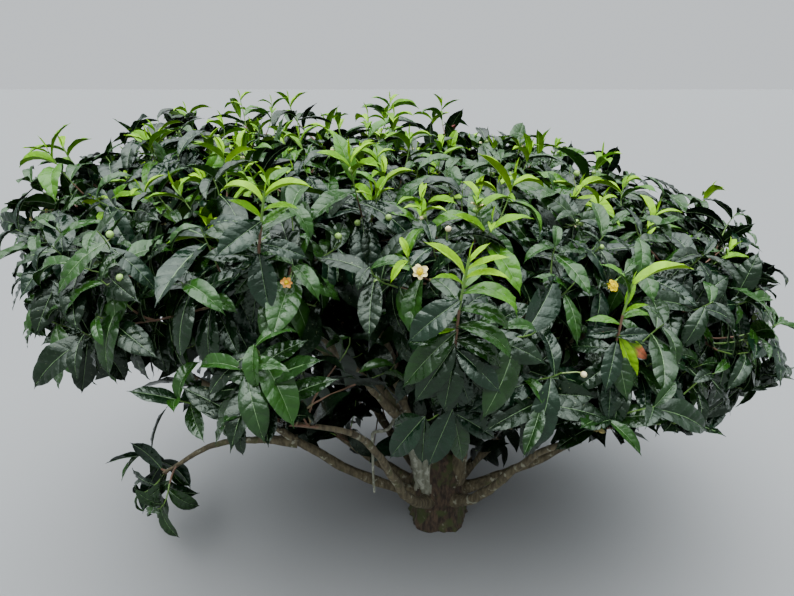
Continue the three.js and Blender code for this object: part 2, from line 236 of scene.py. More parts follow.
def square_to(vector, line):
    """The direction of the part of a vector that is square to a line."""
    return unit(vector - line * np.dot(vector, line))


def sides_of(axis):
    """Two directions that are square to an axis and to each other."""
    first = unit(np.cross(axis, OFF_AXIS))
    return first, np.cross(axis, first)


def turned(sides, turn):
    """The direction that is turned so far from the first of two sides towards the second."""
    return math.cos(turn) * sides[0] + math.sin(turn) * sides[1]


def steps_along(points):
    return np.linalg.norm(np.diff(points, axis=0), axis=1)


class Bend:
    """A smooth curve that leaves one point and reaches another in given directions."""

    def __init__(self, start, start_direction, end, end_direction, pull=BEND_PULL):
        handle = gap(end, start) * pull
        self.corners = np.array([start, start + start_direction * handle, end - end_direction * handle, end])
        self.tip = tuple(end)

    def at(self, share):
        share = np.asarray(share, float)[..., None]
        rest = 1 - share
        a, b, c, d = self.corners
        return rest**3 * a + 3 * rest**2 * share * b + 3 * rest * share**2 * c + share**3 * d

    def tangent(self, share):
        ahead, behind = min(1, share + TANGENT_STEP), max(0, share - TANGENT_STEP)
        return unit(self.at(ahead) - self.at(behind))

    def reach(self):
        """The length along the curve at each of its samples."""
        return np.concatenate([[0], np.cumsum(steps_along(self.at(BEND_SAMPLES)))])


def drop_at(azimuth):
    """How far the skirt hangs below the crown's middle: least at the open front, most at the back."""
    return between(CROWN_BACK_DROP, CROWN_FRONT_DROP, (1 + math.cos(azimuth - CROWN_OPENS_TO)) / 2)


def tilt_at(x, y):
    """How much higher the tilted crown is at a place than in its middle."""
    return CROWN_RISE_TO_BACK * y - CROWN_FALL_TO_RIGHT * x


def skin_point(azimuth, latitude, share=1.0):
    """A point of the crown's skin, or at a share of its width and height inside it."""
    out = math.cos(latitude) ** CROWN_SQUARENESS * share
    up = abs(math.sin(latitude)) ** CROWN_SQUARENESS * share
    x = CROWN_HALF_WIDTH * out * math.cos(azimuth)
    y = CROWN_HALF_DEPTH * out * math.sin(azimuth)
    z = CROWN_RISE * up if latitude > 0 else -drop_at(azimuth) * up
    return CROWN_MIDDLE + np.array([x, y, z + tilt_at(x, y)])


def even_latitudes(count):
    """Latitudes from the top down that share the skin's area evenly."""
    radius = (CROWN_HALF_WIDTH + CROWN_HALF_DEPTH) / 2
    latitudes = np.linspace(math.pi / 2, SKIRT_LATITUDE, SKIN_SLICES + 1)
    r = radius * np.abs(np.cos(latitudes)) ** CROWN_SQUARENESS
    z = np.where(latitudes > 0, CROWN_RISE, -drop_at(0)) * np.abs(np.sin(latitudes)) ** CROWN_SQUARENESS
    steps = (r[1:] + r[:-1]) / 2 * np.hypot(np.diff(r), np.diff(z))
    areas = np.concatenate([[0], np.cumsum(steps)])
    wanted = areas[-1] * (np.arange(count) + 0.5) / count
    return latitudes[np.searchsorted(areas, wanted)]


def spiral(count, scatter, share, purpose):
    """An even spiral of points over the crown, each scattered a little, with none in the hollows."""
    points = []
    for i, latitude in enumerate(even_latitudes(count)):
        shift = [scatter * (2 * chance(i, purpose + k) - 1) for k in range(3)]
        point = skin_point(i * GOLDEN_ANGLE, latitude, share) + np.array(shift)
        if all(gap(point, middle) > reach for middle, reach in HOLLOWS):
            points.append(point)
    return points


def shoot_tips():
    """The leading tips, and those of an even spiral that leave them room."""
    others = [
        tip
        for tip in spiral(SHOOT_COUNT, SKIN_SCATTER, 1.0, 0)
        if all(gap(leader, tip) > LEADING_SHOOT_ROOM for leader in LEADING_TIPS)
    ]
    return [np.array(tip) for tip in LEADING_TIPS] + others


def shoot_direction(tip):
    """The way a shoot points at its tip: out of the crown's side, and upwards, least so on the skirt.

    The leading shoots stand nearly upright.
    """
    out = (tip - CROWN_MIDDLE) / CROWN_HALF_SIZE
    rise = min(max(SHOOT_RISE["middle"] * (1 + out[2]), SHOOT_RISE["least"]), SHOOT_RISE["most"])
    if tuple(tip) in LEADING_TIPS:
        rise = SHOOT_RISE["leading"]
    return unit([out[0], out[1], rise])


def mass_list():
    """The foliage masses' middles, with the shoot tips that are nearest to each."""
    masses = []
    for ring in MASS_RINGS:
        for k in range(ring["count"]):
            azimuth = ring["turn"] + FULL_TURN * k / ring["count"]
            x = CROWN_HALF_WIDTH * ring["out"] * math.cos(azimuth)
            y = CROWN_HALF_DEPTH * ring["out"] * math.sin(azimuth)
            z = ring["z"] - ring["follow"] * drop_at(azimuth) + tilt_at(x, y)
            middle = np.array([CROWN_MIDDLE[0] + x, CROWN_MIDDLE[1] + y, z])
            masses.append(dict(name=f"{ring['name']}_{k + 1}", ring=ring, number=k, middle=middle, tips=[]))
    middle = np.array(LOW_SPRAY["middle"])
    tips = [np.array(tip) for tip in LOW_SPRAY_TIPS]
    masses.append(dict(name="low_spray", ring=LOW_SPRAY, number=0, middle=middle, tips=tips))
    for tip in shoot_tips():
        nearest_mass(masses, tip)["tips"].append(tip)
    return masses


def nearest_mass(masses, point, ring_name=None):
    """The mass whose middle is nearest to a point, in one ring or in all."""
    among = [mass for mass in masses if ring_name in (None, mass["ring"]["name"])]
    return min(among, key=lambda mass: gap(mass["middle"], point))


def bough_of(mass, masses):
    """The bough of a mass: its curve and its start radius."""
    middle, ring = mass["middle"], mass["ring"]
    outwards = math.atan2(middle[1], middle[0])
    arriving = heading(outwards, ring["rise"])
    end = middle - arriving * ring["stem"]
    if ring["name"] in ("inner", "lower"):
        foot = INNER_FOOT if ring["name"] == "inner" else LOWER_FOOT
        start = heading(outwards, 0) * foot["out"] + upwards(foot["z"])
        return Bend(start, heading(outwards, foot["rise"]), end, arriving), foot["radius"]
    if ring["name"] == "upper":
        parent = nearest_mass(masses, middle, "inner")
        start = parent["bough"][0].at(UPPER_FOOT["along"][mass["number"] % 2])
        return Bend(start, unit(middle - start), end, arriving), UPPER_FOOT["radius"]
    parent = nearest_mass(masses, middle, "lower")
    start = parent["bough"][0].at(LOW_SPRAY_FOOT["along"])
    return Bend(start, heading(outwards, LOW_SPRAY_FOOT["rise"]), end, arriving), LOW_SPRAY_FOOT["radius"]


def stem_of(mass):
    """The stem that goes on from the mass's bough towards the middle of its shoot tips."""
    curve = mass["bough"][0]
    onward = curve.tangent(1)
    start = curve.at(1) + onward * STEM_GAP
    end = between(start, np.mean(mass["tips"], axis=0), STEM_REACH)
    return Bend(start, onward, end, unit(end - start))


def twigs_of(mass):
    """One twig from the stem to each shoot tip, the nearest tips' first."""
    stem = mass["stem"]
    tips = sorted(mass["tips"], key=lambda tip: gap(tip, stem.at(0)))
    twigs = []
    for i, tip in enumerate(tips):
        share = between(*TWIG_FEET, (i + 0.5) / len(tips))
        foot = stem.at(share)
        leaving = unit(stem.tangent(share) + unit(tip - foot))
        twigs.append(Bend(foot, leaving, tip, shoot_direction(tip), TWIG_PULL))
    return twigs


masses = mass_list()
for mass in masses:
    mass["bough"] = bough_of(mass, masses)
for mass in masses:
    mass["stem"] = stem_of(mass)
    mass["twigs"] = twigs_of(mass)


def mass_named(name):
    return next(mass for mass in masses if mass["name"] == name)


def twig_to(tip):
    """The mass and the place in its list of the twig to a shoot tip."""
    return next((mass, k) for mass in masses for k, twig in enumerate(mass["twigs"]) if twig.tip == tip)


leader_tips = list(LEADING_TIPS)
for number, plan in enumerate(FRONT_LEADERS):
    bearer = mass_named(plan["bearer"])
    line = bearer["bough"][0] if plan["on"] == "bough" else bearer["stem"]
    mass, k = twig_to(LEADING_TIPS[number])
    foot, tip = line.at(plan["at"]), np.array(plan["tip"])
    leaving, rising = unit(plan["leaving"]), unit(plan["rising"])
    mass["twigs"][k] = Bend(foot, leaving, tip, rising, plan["pull"])
    leader_tips[number] = plan["tip"]


def leader_lines():
    """Points along the leading shoots, from half their length to their tips."""
    leaders = [twig for mass in masses for twig in mass["twigs"] if twig.tip in leader_tips]
    return np.concatenate([leader.at(LEADER_SAMPLES) for leader in leaders])


def crowds(tip, lines):
    """True for a side shoot's tip that would hide a leading shoot, the bare stems or the foot of the bush."""
    if any(gap(tip, middle) < reach for middle, reach in SIDE_HOLLOWS):
        return True
    out = (tip - CROWN_MIDDLE) / CROWN_HALF_SIZE
    rim = skin_point(math.atan2(out[1], out[0]), SKIRT_LATITUDE)
    if out[1] < 0 and tip[2] < rim[2] + FRONT_SKIRT_LIFT:
        return True
    return np.min(np.linalg.norm(lines - tip, axis=1)) < LEADER_ROOM


def side_shoots(kind, count, share, draw, feet):
    """Shoots to more tips. Each leaves the twig of its mass whose tip is nearest, a share along it."""
    lines = leader_lines()
    for i, tip in enumerate(spiral(count, SIDE_SHOOT_SCATTER, share, draw)):
        if kind == "outer" and crowds(tip, lines):
            continue
        mass = nearest_mass(masses, tip)
        twig = min(mass["twigs"], key=lambda other: gap(other.tip, tip))
        if gap(twig.tip, tip) < SIDE_SHOOT_ROOM:
            continue
        along = between(*feet, chance(i, FOOT_DRAW))
        foot = twig.at(along)
        direction = shoot_direction(tip)
        own_kind = kind
        if kind == "outer" and tip[2] > TALL_FROM and chance(i, TALL_DRAW) < TALL_SHARE:
            own_kind = "tall"
            direction = unit(direction + upwards(TALL_LIFT))
            tip = tip + direction * between(*TALL_EXTRA, chance(i, EXTRA_DRAW))
        leaving = unit(SIDE_SHOOT_FOLLOWS * twig.tangent(along) + unit(tip - foot))
        curve = Bend(foot, leaving, tip, direction, TWIG_PULL)
        mass["shoots"].append(dict(curve=curve, kind=own_kind, seed=SEEDS[kind] + i))


def low_whorls():
    """Dense whorls of old leaves under the foremost leading shoot, on side shoots from its twig."""
    mass, place = twig_to(leader_tips[0])
    foot = mass["twigs"][place].at(WHORL_FOOT)
    for k, tip in enumerate(np.array(LOW_WHORLS)):
        curve = Bend(foot, unit(tip - foot), tip, unit(WHORL_RISING), TWIG_PULL)
        planned = len(FRONT_LEADERS) + k
        mass["shoots"].append(dict(curve=curve, kind="whorl", seed=SEEDS["whorl"] + k, planned=planned))


def bough_sprays():
    """Short leafy sprays straight from the boughs, in the shade of the crown.

    Those at the back are more and longer, and start nearer the trunk.
    """
    for number, mass in enumerate(masses[:-1]):
        curve = mass["bough"][0]
        plan = BACK_SPRAYS if curve.tip[1] > 0 else FRONT_SPRAYS
        for k in range(plan["count"]):
            item = SPRAY_SEEDS_A_MASS * number + k
            draws = [chance(item, SPRAY_DRAW + j) for j in range(5)]
            share = between(*plan["feet"], (k + draws[0]) / plan["count"])
            foot = curve.at(share)
            side = unit([draws[1] - 0.5, draws[2] - 0.5, 0.5 * draws[3] - 0.1])
            leaving = unit(side + SPRAY_FOLLOWS * curve.tangent(share))
            tip = foot + leaving * between(*plan["lengths"], draws[4])
            if tip[1] < SPRAY_FRONT:
                continue
            spray = Bend(foot, leaving, tip, unit(leaving + upwards(SPRAY_LIFT)), TWIG_PULL)
            mass["shoots"].append(dict(curve=spray, kind="shade", seed=SEEDS["spray"] + item))


for number, mass in enumerate(masses):
    mass["shoots"] = []
    for k, twig in enumerate(mass["twigs"]):
        shoot = dict(curve=twig, kind="outer", seed=SEEDS["twig"] + TWIG_SEEDS_A_MASS * number + k)
        if twig.tip in leader_tips:
            shoot["kind"] = "leader"
            if leader_tips.index(twig.tip) < len(FRONT_LEADERS):
                shoot["planned"] = leader_tips.index(twig.tip)
        mass["shoots"].append(shoot)
side_shoots("outer", **OUTER_SHOOTS)
side_shoots("inner", **INNER_SHOOTS)
low_whorls()
bough_sprays()


def new_object(name, data):
    made = bpy.data.objects.new(name, data)
    bpy.context.collection.objects.link(made)
    return made


class Piece:
    """Points and four-sided faces gathered for one joined mesh."""

    def __init__(self):
        self.points, self.quads, self.slots, self.places, self.creases = [], [], [], [], []
        self.count = 0

    def add(self, points, quads, slots, places=None, creases=None):
        """Adds points and faces, with a material slot for all faces or for each.

        places are the (u, v) of each point on its leaf, and creases the pairs of points with a sharp edge.
        """
        points = np.asarray(points, np.float32).reshape(-1, 3)
        quads = np.asarray(quads, np.int64)
        self.points.append(points)
        self.quads.append(quads + self.count)
        self.slots.append(np.broadcast_to(np.asarray(slots, np.int32), len(quads)).copy())
        if places is None:
            places = np.zeros((len(points), 2), np.float32)
        self.places.append(np.asarray(places, np.float32).reshape(-1, 2))
        if creases is not None:
            self.creases.append(np.asarray(creases, np.int64).reshape(-1, 2) + self.count)
        self.count += len(points)

    def build(self, name, materials):
        points = np.concatenate(self.points)
        quads = np.concatenate(self.quads)
        mesh = bpy.data.meshes.new(name)
        mesh.vertices.add(len(points))
        mesh.vertices.foreach_set("co", points.ravel())
        mesh.loops.add(4 * len(quads))
        mesh.loops.foreach_set("vertex_index", quads.ravel())
        mesh.polygons.add(len(quads))
        mesh.polygons.foreach_set("loop_start", np.arange(len(quads)) * 4)
        mesh.polygons.foreach_set("material_index", np.concatenate(self.slots))
        mesh.polygons.foreach_set("use_smooth", np.ones(len(quads), bool))
        layer = mesh.uv_layers.new(name="Place")
        layer.data.foreach_set("uv", np.concatenate(self.places)[quads.ravel()].ravel())
        for material in materials:
            mesh.materials.append(material)
        mesh.update(calc_edges=True)
        mesh.validate()
        if self.creases:
            self.sharpen(mesh)
        return new_object(name, mesh)

    def sharpen(self, mesh):
        ends = np.empty(2 * len(mesh.edges), np.int64)
        mesh.edges.foreach_get("vertices", ends)
        ends = np.sort(ends.reshape(-1, 2), axis=1)
        wanted = np.sort(np.concatenate(self.creases), axis=1)
        sharp = np.isin(ends[:, 0] * self.count + ends[:, 1], wanted[:, 0] * self.count + wanted[:, 1])
        mesh.attributes.new("sharp_edge", "BOOLEAN", "EDGE").data.foreach_set("value", sharp)


def crease_pairs(rows, columns):
    """Creases of a quilted leaf: across it at each side vein, on every second row, and down its midrib."""
    row, column = np.meshgrid(np.arange(0, rows, 2), np.arange(columns - 1), indexing="ij")
    veins = np.stack([row * columns + column, row * columns + column + 1], axis=-1).reshape(-1, 2)
    down = np.arange(rows - 1)
    middle = columns // 2
    midrib = np.stack([down * columns + middle, (down + 1) * columns + middle], axis=-1)
    return np.concatenate([veins, midrib])


def grid_quads(rows, columns, closed=False):
    """The faces of a grid of points, whose columns may close into a ring."""
    across = np.arange(columns if closed else columns - 1)
    row, column = (part.ravel() for part in np.meshgrid(np.arange(rows - 1), across, indexing="ij"))
    after, start, end = (column + 1) % columns, row * columns, (row + 1) * columns
    return np.stack([start + column, start + after, end + after, end + column], axis=1)


def frames_along(points):
    """Two directions across a line of points at each of them, which turn with it as little as they can."""
    tangents = np.gradient(points, axis=0)
    tangents /= np.linalg.norm(tangents, axis=1)[:, None]
    across = [unit(np.cross(tangents[0], TUBE_OFF_AXIS))]
    for tangent in tangents[1:]:
        across.append(square_to(across[-1], tangent))
    return np.array(across), np.cross(tangents, across)


def tube(points, radii, sides):
    """A tube round a line of points."""
    across, other = frames_along(points)
    angles = (np.arange(sides) * FULL_TURN / sides)[None, :, None]
    ring = across[:, None, :] * np.cos(angles) + other[:, None, :] * np.sin(angles)
    return points[:, None, :] + ring * np.asarray(radii)[:, None, None]


def add_stalk(piece, points, radii, sides, slots):
    """Adds a stem along a line of points, with a slot for each stretch between two of them."""
    quads = grid_quads(len(points), sides, closed=True)
    piece.add(tube(points, radii, sides), quads, np.repeat(slots, sides))


# Materials.

# Patches are a noise's scale and detail, and the two values between which the patches come in.
LEAF_SHINE = 0.385
YOUNG_LEAF_SHINE = 0.14
LEAF_SHINE_TINT = (0.84, 0.98, 0.84)
LEAF_PATCHES = (34.0, 3.0, 0.35, 0.70)
LEAF_PATCHES_LIGHTER = (1.55, 0.004)
LEAF_FILM = (90.0, 5.0, 0.60, 0.80)
LEAF_FILM_COLOUR = (0.16, 0.19, 0.16)
LEAF_FILM_ROUGHENS = (-0.06, 0.16)
LEAF_SPECKS = (260.0, 2.0, 0.70, 0.76)
LEAF_SPECK_COLOUR = (0.30, 0.33, 0.16)
LEAF_GRAIN = (130.0, 3.0)
LEAF_RELIEF = (0.5, 0.0022)
LEAF_TURNS = (0.42, 0.56)
SMOOTH_PATCHES = (70.0, 3.0, 0.35, 0.70)
BARK_STRETCH = (1.0, 1.0, 0.28)
BARK_GRAIN = (120.0, 6.0)
BARK_FISSURES = (0.36, 0.66)
BARK_RELIEF = (0.8, 0.003)
BARK_ROUGHNESS = 0.88
MOSS_PATCHES = (26.0, 5.0)
MOSS_EDGE = 0.1
LICHEN_PATCHES = (47.0, 6.0)
LICHEN_EDGE = 0.06


class NodeTree:
    """The nodes of a material or of the sky, and short ways to add to them."""

    def __init__(self, owner):
        owner.use_nodes = True
        self.nodes, self.links = owner.node_tree.nodes, owner.node_tree.links

    def feed(self, socket, value):
        """Sets a socket to a number, a vector or a colour, or links it to another socket."""
        if isinstance(value, bpy.types.NodeSocket):
            self.links.new(value, socket)
        else:
            socket.default_value = (*value, 1) if socket.type == "RGBA" else value

    def set(self, node, **values):
        """Feeds a node's sockets. An underscore stands for each space in a socket's name."""
        for name, value in values.items():
            self.feed(node.inputs[name.replace("_", " ")], value)
        return node

    def new(self, kind, **values):
        return self.set(self.nodes.new(f"ShaderNode{kind}"), **values)

    def place(self):
        return self.new("TexCoord").outputs["Object"]

    def ramp(self, factor, low, high, to=(0, 1)):
        """A factor remapped so that low gives the first value of to, and high the second."""
        remap = self.new("MapRange", Value=factor, From_Min=low, From_Max=high, To_Min=to[0], To_Max=to[1])
        return remap.outputs["Result"]

    def noise(self, where, scale, detail):
        return self.new("TexNoise", Vector=where, Scale=scale, Detail=detail).outputs["Fac"]

    def patches(self, where, scale, detail, low, high):
        return self.ramp(self.noise(where, scale, detail), low, high)

    def weaker(self, factor, share):
        product = self.new("Math")
        product.operation = "MULTIPLY"
        self.feed(product.inputs[0], factor)
        self.feed(product.inputs[1], share)
        return product.outputs[0]

    def mixed(self, factor, first, second):
        """A colour that goes from the first to the second."""
        mix = self.new("Mix")
        mix.data_type = "RGBA"
        self.feed(mix.inputs["Factor"], factor)
        for socket, colour in zip([s for s in mix.inputs if s.type == "RGBA"], (first, second)):
            self.feed(socket, colour)
        return next(s for s in mix.outputs if s.type == "RGBA")

    def relief(self, height, strength, distance):
        return self.new("Bump", Height=height, Strength=strength, Distance=distance).outputs["Normal"]


def new_material(name):
    material = bpy.data.materials.new(name)
    tree = NodeTree(material)
    return material, tree, tree.nodes["Principled BSDF"]


def leaf_material(name, colour, dust, roughness, speck=0.0, shine=LEAF_SHINE):
    """A leathery leaf: uneven green, a grey film in places, fine netted relief and a waxy gloss."""
    material, tree, shader = new_material(name)
    where = tree.place()
    lighter = tuple(min(1, LEAF_PATCHES_LIGHTER[0] * c + LEAF_PATCHES_LIGHTER[1]) for c in colour)
    green = tree.mixed(tree.patches(where, *LEAF_PATCHES), colour, lighter)
    film = tree.patches(where, *LEAF_FILM)
    green = tree.mixed(tree.weaker(film, dust), green, LEAF_FILM_COLOUR)
    if speck:
        green = tree.mixed(tree.weaker(tree.patches(where, *LEAF_SPECKS), speck), green, LEAF_SPECK_COLOUR)
    rough = tree.ramp(film, 0, 1, [roughness + change for change in LEAF_FILM_ROUGHENS])
    relief = tree.relief(tree.noise(where, *LEAF_GRAIN), *LEAF_RELIEF)
    tree.set(shader, Base_Color=green, Roughness=rough, Normal=relief)
    tree.set(shader, Specular_IOR_Level=shine, Specular_Tint=LEAF_SHINE_TINT)
    return material


def turning_leaf_material(name, colour, turned_to, roughness):
    """A leaf that has turned another colour from its middle to its tip."""
    material, tree, shader = new_material(name)
    place = tree.new("UVMap")
    place.uv_map = "Place"
    along = tree.new("SeparateXYZ", Vector=place.outputs["UV"]).outputs["X"]
    turning = tree.mixed(tree.ramp(along, *LEAF_TURNS), colour, turned_to)
    tree.set(shader, Base_Color=turning, Roughness=roughness, Specular_IOR_Level=YOUNG_LEAF_SHINE)
    return material


def bark_material(name, dark, light, moss, lichen, moss_share, lichen_share):
    """Bark: fissured brown, with moss and pale lichen in patches."""
    material, tree, shader = new_material(name)
    where = tree.place()
    stretched = tree.new("Mapping", Vector=where, Scale=BARK_STRETCH).outputs["Vector"]
    grain = tree.noise(stretched, *BARK_GRAIN)
    colour = tree.mixed(tree.ramp(grain, *BARK_FISSURES), dark, light)
    mossy = tree.patches(where, *MOSS_PATCHES, 1 - moss_share, 1 + MOSS_EDGE - moss_share)
    crusty = tree.patches(where, *LICHEN_PATCHES, 1 - lichen_share, 1 + LICHEN_EDGE - lichen_share)
    colour = tree.mixed(crusty, tree.mixed(mossy, colour, moss), lichen)
    tree.set(shader, Base_Color=colour, Roughness=BARK_ROUGHNESS, Normal=tree.relief(grain, *BARK_RELIEF))
    return material


def smooth_material(name, colour, roughness, lighter=1.35, shine=0.5):
    """A small smooth part, such as a young stem or a petal, of slightly uneven colour."""
    material, tree, shader = new_material(name)
    brighter = tuple(min(1, lighter * c) for c in colour)
    uneven = tree.mixed(tree.patches(tree.place(), *SMOOTH_PATCHES), colour, brighter)
    tree.set(shader, Base_Color=uneven, Roughness=roughness, Specular_IOR_Level=shine)
    return material


LEAF_MATERIALS = [
    leaf_material("leaf_dark_green", (0.0018, 0.0092, 0.0019), 0.05, 0.15),
    leaf_material("leaf_blue_green", (0.0018, 0.0096, 0.0036), 0.04, 0.13),
    # The deep green is a tone of its own and also painted shade: it darkens the leaves inside the crown and
    # on the bough sprays.
    leaf_material("leaf_deep_green_and_painted_shade", (0.0018, 0.0070, 0.0018), 0.09, 0.22, speck=0.5, shine=0.30),
    leaf_material("leaf_plain_green", (0.0038, 0.0168, 0.0018), 0.03, 0.16),
    leaf_material("leaf_mid_green", (0.009, 0.037, 0.003), 0.03, 0.22, shine=0.38),
    leaf_material("leaf_fresh_green", (0.034, 0.108, 0.004), 0.03, 0.28, shine=0.30),
    leaf_material("leaf_lime", (0.082, 0.208, 0.001), 0.01, 0.36, shine=YOUNG_LEAF_SHINE),
    leaf_material("leaf_bright_lime", (0.155, 0.315, 0.001), 0.0, 0.38, shine=YOUNG_LEAF_SHINE),
    turning_leaf_material("leaf_turning", (0.130, 0.260, 0.010), (0.400, 0.115, 0.050), 0.42),
    leaf_material("leaf_red_brown", (0.170, 0.022, 0.024), 0.05, 0.40),
]
DARK, BLUE, DEEP_AND_SHADE, PLAIN, MID, FRESH, LIME, BRIGHT, YELLOW, RED = range(10)
FIRST_MID, FIRST_LIME, FIRST_RARE = MID, LIME, YELLOW

RIB_MATERIALS = [
    smooth_material("rib_of_old_leaf", (0.085, 0.150, 0.060), 0.45),
    smooth_material("rib_of_young_leaf", (0.260, 0.420, 0.090), 0.45),
]
TRUNK_BARK = bark_material(
    "trunk_bark",
    dark=(0.016, 0.010, 0.006),
    light=(0.075, 0.048, 0.028),
    moss=(0.038, 0.050, 0.012),
    lichen=(0.150, 0.150, 0.110),
    moss_share=0.50,
    lichen_share=0.34,
)
BOUGH_BARK = bark_material(
    "bough_bark",
    dark=(0.046, 0.036, 0.018),
    light=(0.125, 0.105, 0.058),
    moss=(0.058, 0.066, 0.022),
    lichen=(0.230, 0.230, 0.165),
    moss_share=0.40,
    lichen_share=0.40,
)
PALE_BARK = bark_material(
    "pale_bark",
    dark=(0.125, 0.130, 0.090),
    light=(0.230, 0.238, 0.180),
    moss=(0.105, 0.120, 0.058),
    lichen=(0.320, 0.330, 0.265),
    moss_share=0.34,
    lichen_share=0.44,
)
STEM_MATERIALS = [
    smooth_material("stem_green", (0.100, 0.190, 0.035), 0.45),
    smooth_material("stem_red_brown", (0.120, 0.062, 0.036), 0.60),
    smooth_material("stem_olive", (0.125, 0.105, 0.052), 0.75, lighter=1.7),
    BOUGH_BARK,
]
STEM_GREEN, STEM_RED, STEM_OLIVE, STEM_BARK = range(4)

# Leaves.

FINE_ROWS = 15
FINE_COLUMNS = np.array([-1, -0.5, 0, 0.5, 1.0])
PLAIN_ROWS = 7
PLAIN_COLUMNS = np.array([-1, 0, 1.0])
BLADE_END = 0.93
BLADE_BASE_SHARPNESS = 0.85
BLADE_TIP_SHARPNESS = 0.80
BLADE_NARROWED = 0.94
TAIL_WIDTH = ((0, 0.08, 0.85, 1), (0.06, 0.05, 0.10, 0.015))
RIM_WAVES = 2.6
VEIN_SLANT = 0.11
QUILT_DEPTH = 0.024
QUILT_SUNK = 0.35
QUILT_ACROSS = ((0, 0.5, 1), (0, 1, 0.1))
QUILT_UNEVEN = 0.55
QUILT_STEP = 1.9
TOOTH = 0.03
RIB_ROWS = 6
RIB_END = 0.9
RIB_RADIUS = (0.0125, 0.004)

# A leaf at each stage of its growth. Lengths are in metres, and broad is the width's share of the length.
# spread is the angle between twig and leaf, droop pulls it down, arch is how far it bends from stalk to tip,
# and fold and curl shape it across.
STAGES = {
    "bud": dict(length=0.034, broad=0.13, spread=0.12, droop=0.0, arch=0.2, fold=1.3, curl=0.0),
    "lime": dict(length=0.092, broad=0.28, spread=0.66, droop=0.0, arch=1.05, fold=0.85, curl=0.2),
    "fresh": dict(length=0.122, broad=0.33, spread=0.92, droop=0.10, arch=1.45, fold=0.65, curl=0.3),
    "grown": dict(length=0.132, broad=0.385, spread=1.15, droop=0.58, arch=1.0, fold=0.5, curl=0.4),
}

# The stages and relative sizes of the first leaves below a shoot's tip.
FLUSH_LEAVES = [("bud", 1.0), ("lime", 0.62), ("lime", 0.85), ("lime", 1.0), ("fresh", 0.95), ("fresh", 1.05)]
REST_LEAVES = [("fresh", 0.6), ("fresh", 0.85)]
LEADER_LEAVES = [("bud", 1.0), ("lime", 0.55), ("lime", 0.85), ("lime", 0.95), ("lime", 0.75)]
LEADER_LEAVES += [("fresh", size) for size in (0.90, 0.95, 1.0, 1.0, 1.0, 1.0)]
SHOOTS = {
    "leader": dict(leaves=26, size=1.12, gap=0.74),
    "tall": dict(leaves=14, size=1.08, gap=1.05),
    "outer": dict(leaves=10, size=1.0, gap=0.95),
    "inner": dict(leaves=7, size=0.95, gap=1.15),
    "shade": dict(leaves=8, size=0.90, gap=1.05),
}
LEAF_GAPS = (0.008, 0.027)
FULL_GAP_FROM = 5
SAG = (0.5, 1.45)
FULL_SAG_FROM = 11
LEAVES_END = 0.92
FACE_RISE = 0.55
FACE_ALONG = 0.9
FACE_ACROSS = 0.15
SIZE_SPREAD = 0.17
VARIES = {
    "leaves": (0.85, 1.15),
    "length": (0.82, 1.12),
    "sag": (0.5, 1.5),
    "width": (0.9, 1.1),
    "arch": (0.55, 1.4),
    "fold": (0.7, 1.3),
    "curl": (0.6, 1.4),
    "gap": (0.8, 1.2),
}
WAVES = (0.03, 0.12)
TURN_SCATTER = 0.18
SPREAD_SCATTER = 0.13
TWIST_SCATTER = 0.22
RAISED_SAG = 0.5
TONE_KEPT = 0.8
MID_SHARES = ((0.95, 1.10), (0.04, 0.40))
RARE_SHARE = 0.0004
BRIGHT_LEAVES = 2
BRIGHT_SHARE = 0.4
FRESH_LEAVES = 5
GREEN_LEAVES = 8
FRESH_SHARE = 0.04
DULL_TIP_SHARE = 0.6
TORN_SHARE = 0.10
FINE_LEAVES = 9


def blade_width(share):
    """The half width of a leaf along it, 1 at its widest: broad, with a drawn-out tip."""
    inside = np.clip(share / BLADE_END, 0, 1)
    base, tip = BLADE_BASE_SHARPNESS, BLADE_TIP_SHARPNESS
    widest = base / (base + tip)
    body = inside**base * (1 - inside) ** tip / (widest**base * (1 - widest) ** tip)
    return np.maximum(body, np.interp(share, *TAIL_WIDTH))


def along_bend(leaves, turn):
    """Where the midribs of leaves are once they have turned so far, and the way that they face there."""
    arch, length, turn = (np.asarray(part)[..., None] for part in (leaves["arch"], leaves["length"], turn))
    bent = np.sin(turn) * leaves["run"] - (1 - np.cos(turn)) * leaves["face"]
    return leaves["root"] + length / arch * bent, np.sin(turn) * leaves["run"] + np.cos(turn) * leaves["face"]


def by_leaf(leaves, axes):
    """The numbers of many leaves, with empty axes after the first for the points of each."""
    table = {key: np.array([leaf[key] for leaf in leaves]) for key in leaves[0]}
    return {key: value.reshape(len(value), *[1] * axes, *value.shape[1:]) for key, value in table.items()}


def blade_points(leaves, rows, columns, quilted):
    """The points of many leaves at once, by leaf, row and column. Rows follow the side veins."""
    leaves = by_leaf(leaves, 2)
    along = np.linspace(0, 1, rows)[:, None]
    across = columns[None, :]
    edge = np.abs(across)
    share = along + VEIN_SLANT * edge * 4 * along * (1 - along)
    half = leaves["width"] / 2 * blade_width(share)
    side = BLADE_NARROWED * half * across
    phase = leaves["phase"] + across
    wave = leaves["wave"] * np.sin(FULL_TURN * RIM_WAVES * share + phase) * edge**2
    rise = half * (leaves["fold"] * edge - leaves["curl"] * edge**2 + wave)
    if quilted:
        row = np.arange(rows)[:, None]
        odd = row % 2
        puff = np.interp(edge, *QUILT_ACROSS) * np.sqrt(np.sin(math.pi * along).clip(0))
        depth = QUILT_DEPTH * leaves["length"] * (1 + QUILT_UNEVEN * np.sin(phase + QUILT_STEP * row))
        rise = rise + depth * puff * (odd - QUILT_SUNK * (1 - odd))
        side = side * (1 + TOOTH * (odd - 0.5) * (edge == 1))
    twist = leaves["twist"] * share
    side, rise = side * np.cos(twist) - rise * np.sin(twist), side * np.sin(twist) + rise * np.cos(twist)
    midrib, normal = along_bend(leaves, leaves["arch"] * share)
    beside = np.cross(leaves["run"], leaves["face"])
    return midrib + side[..., None] * beside + rise[..., None] * normal


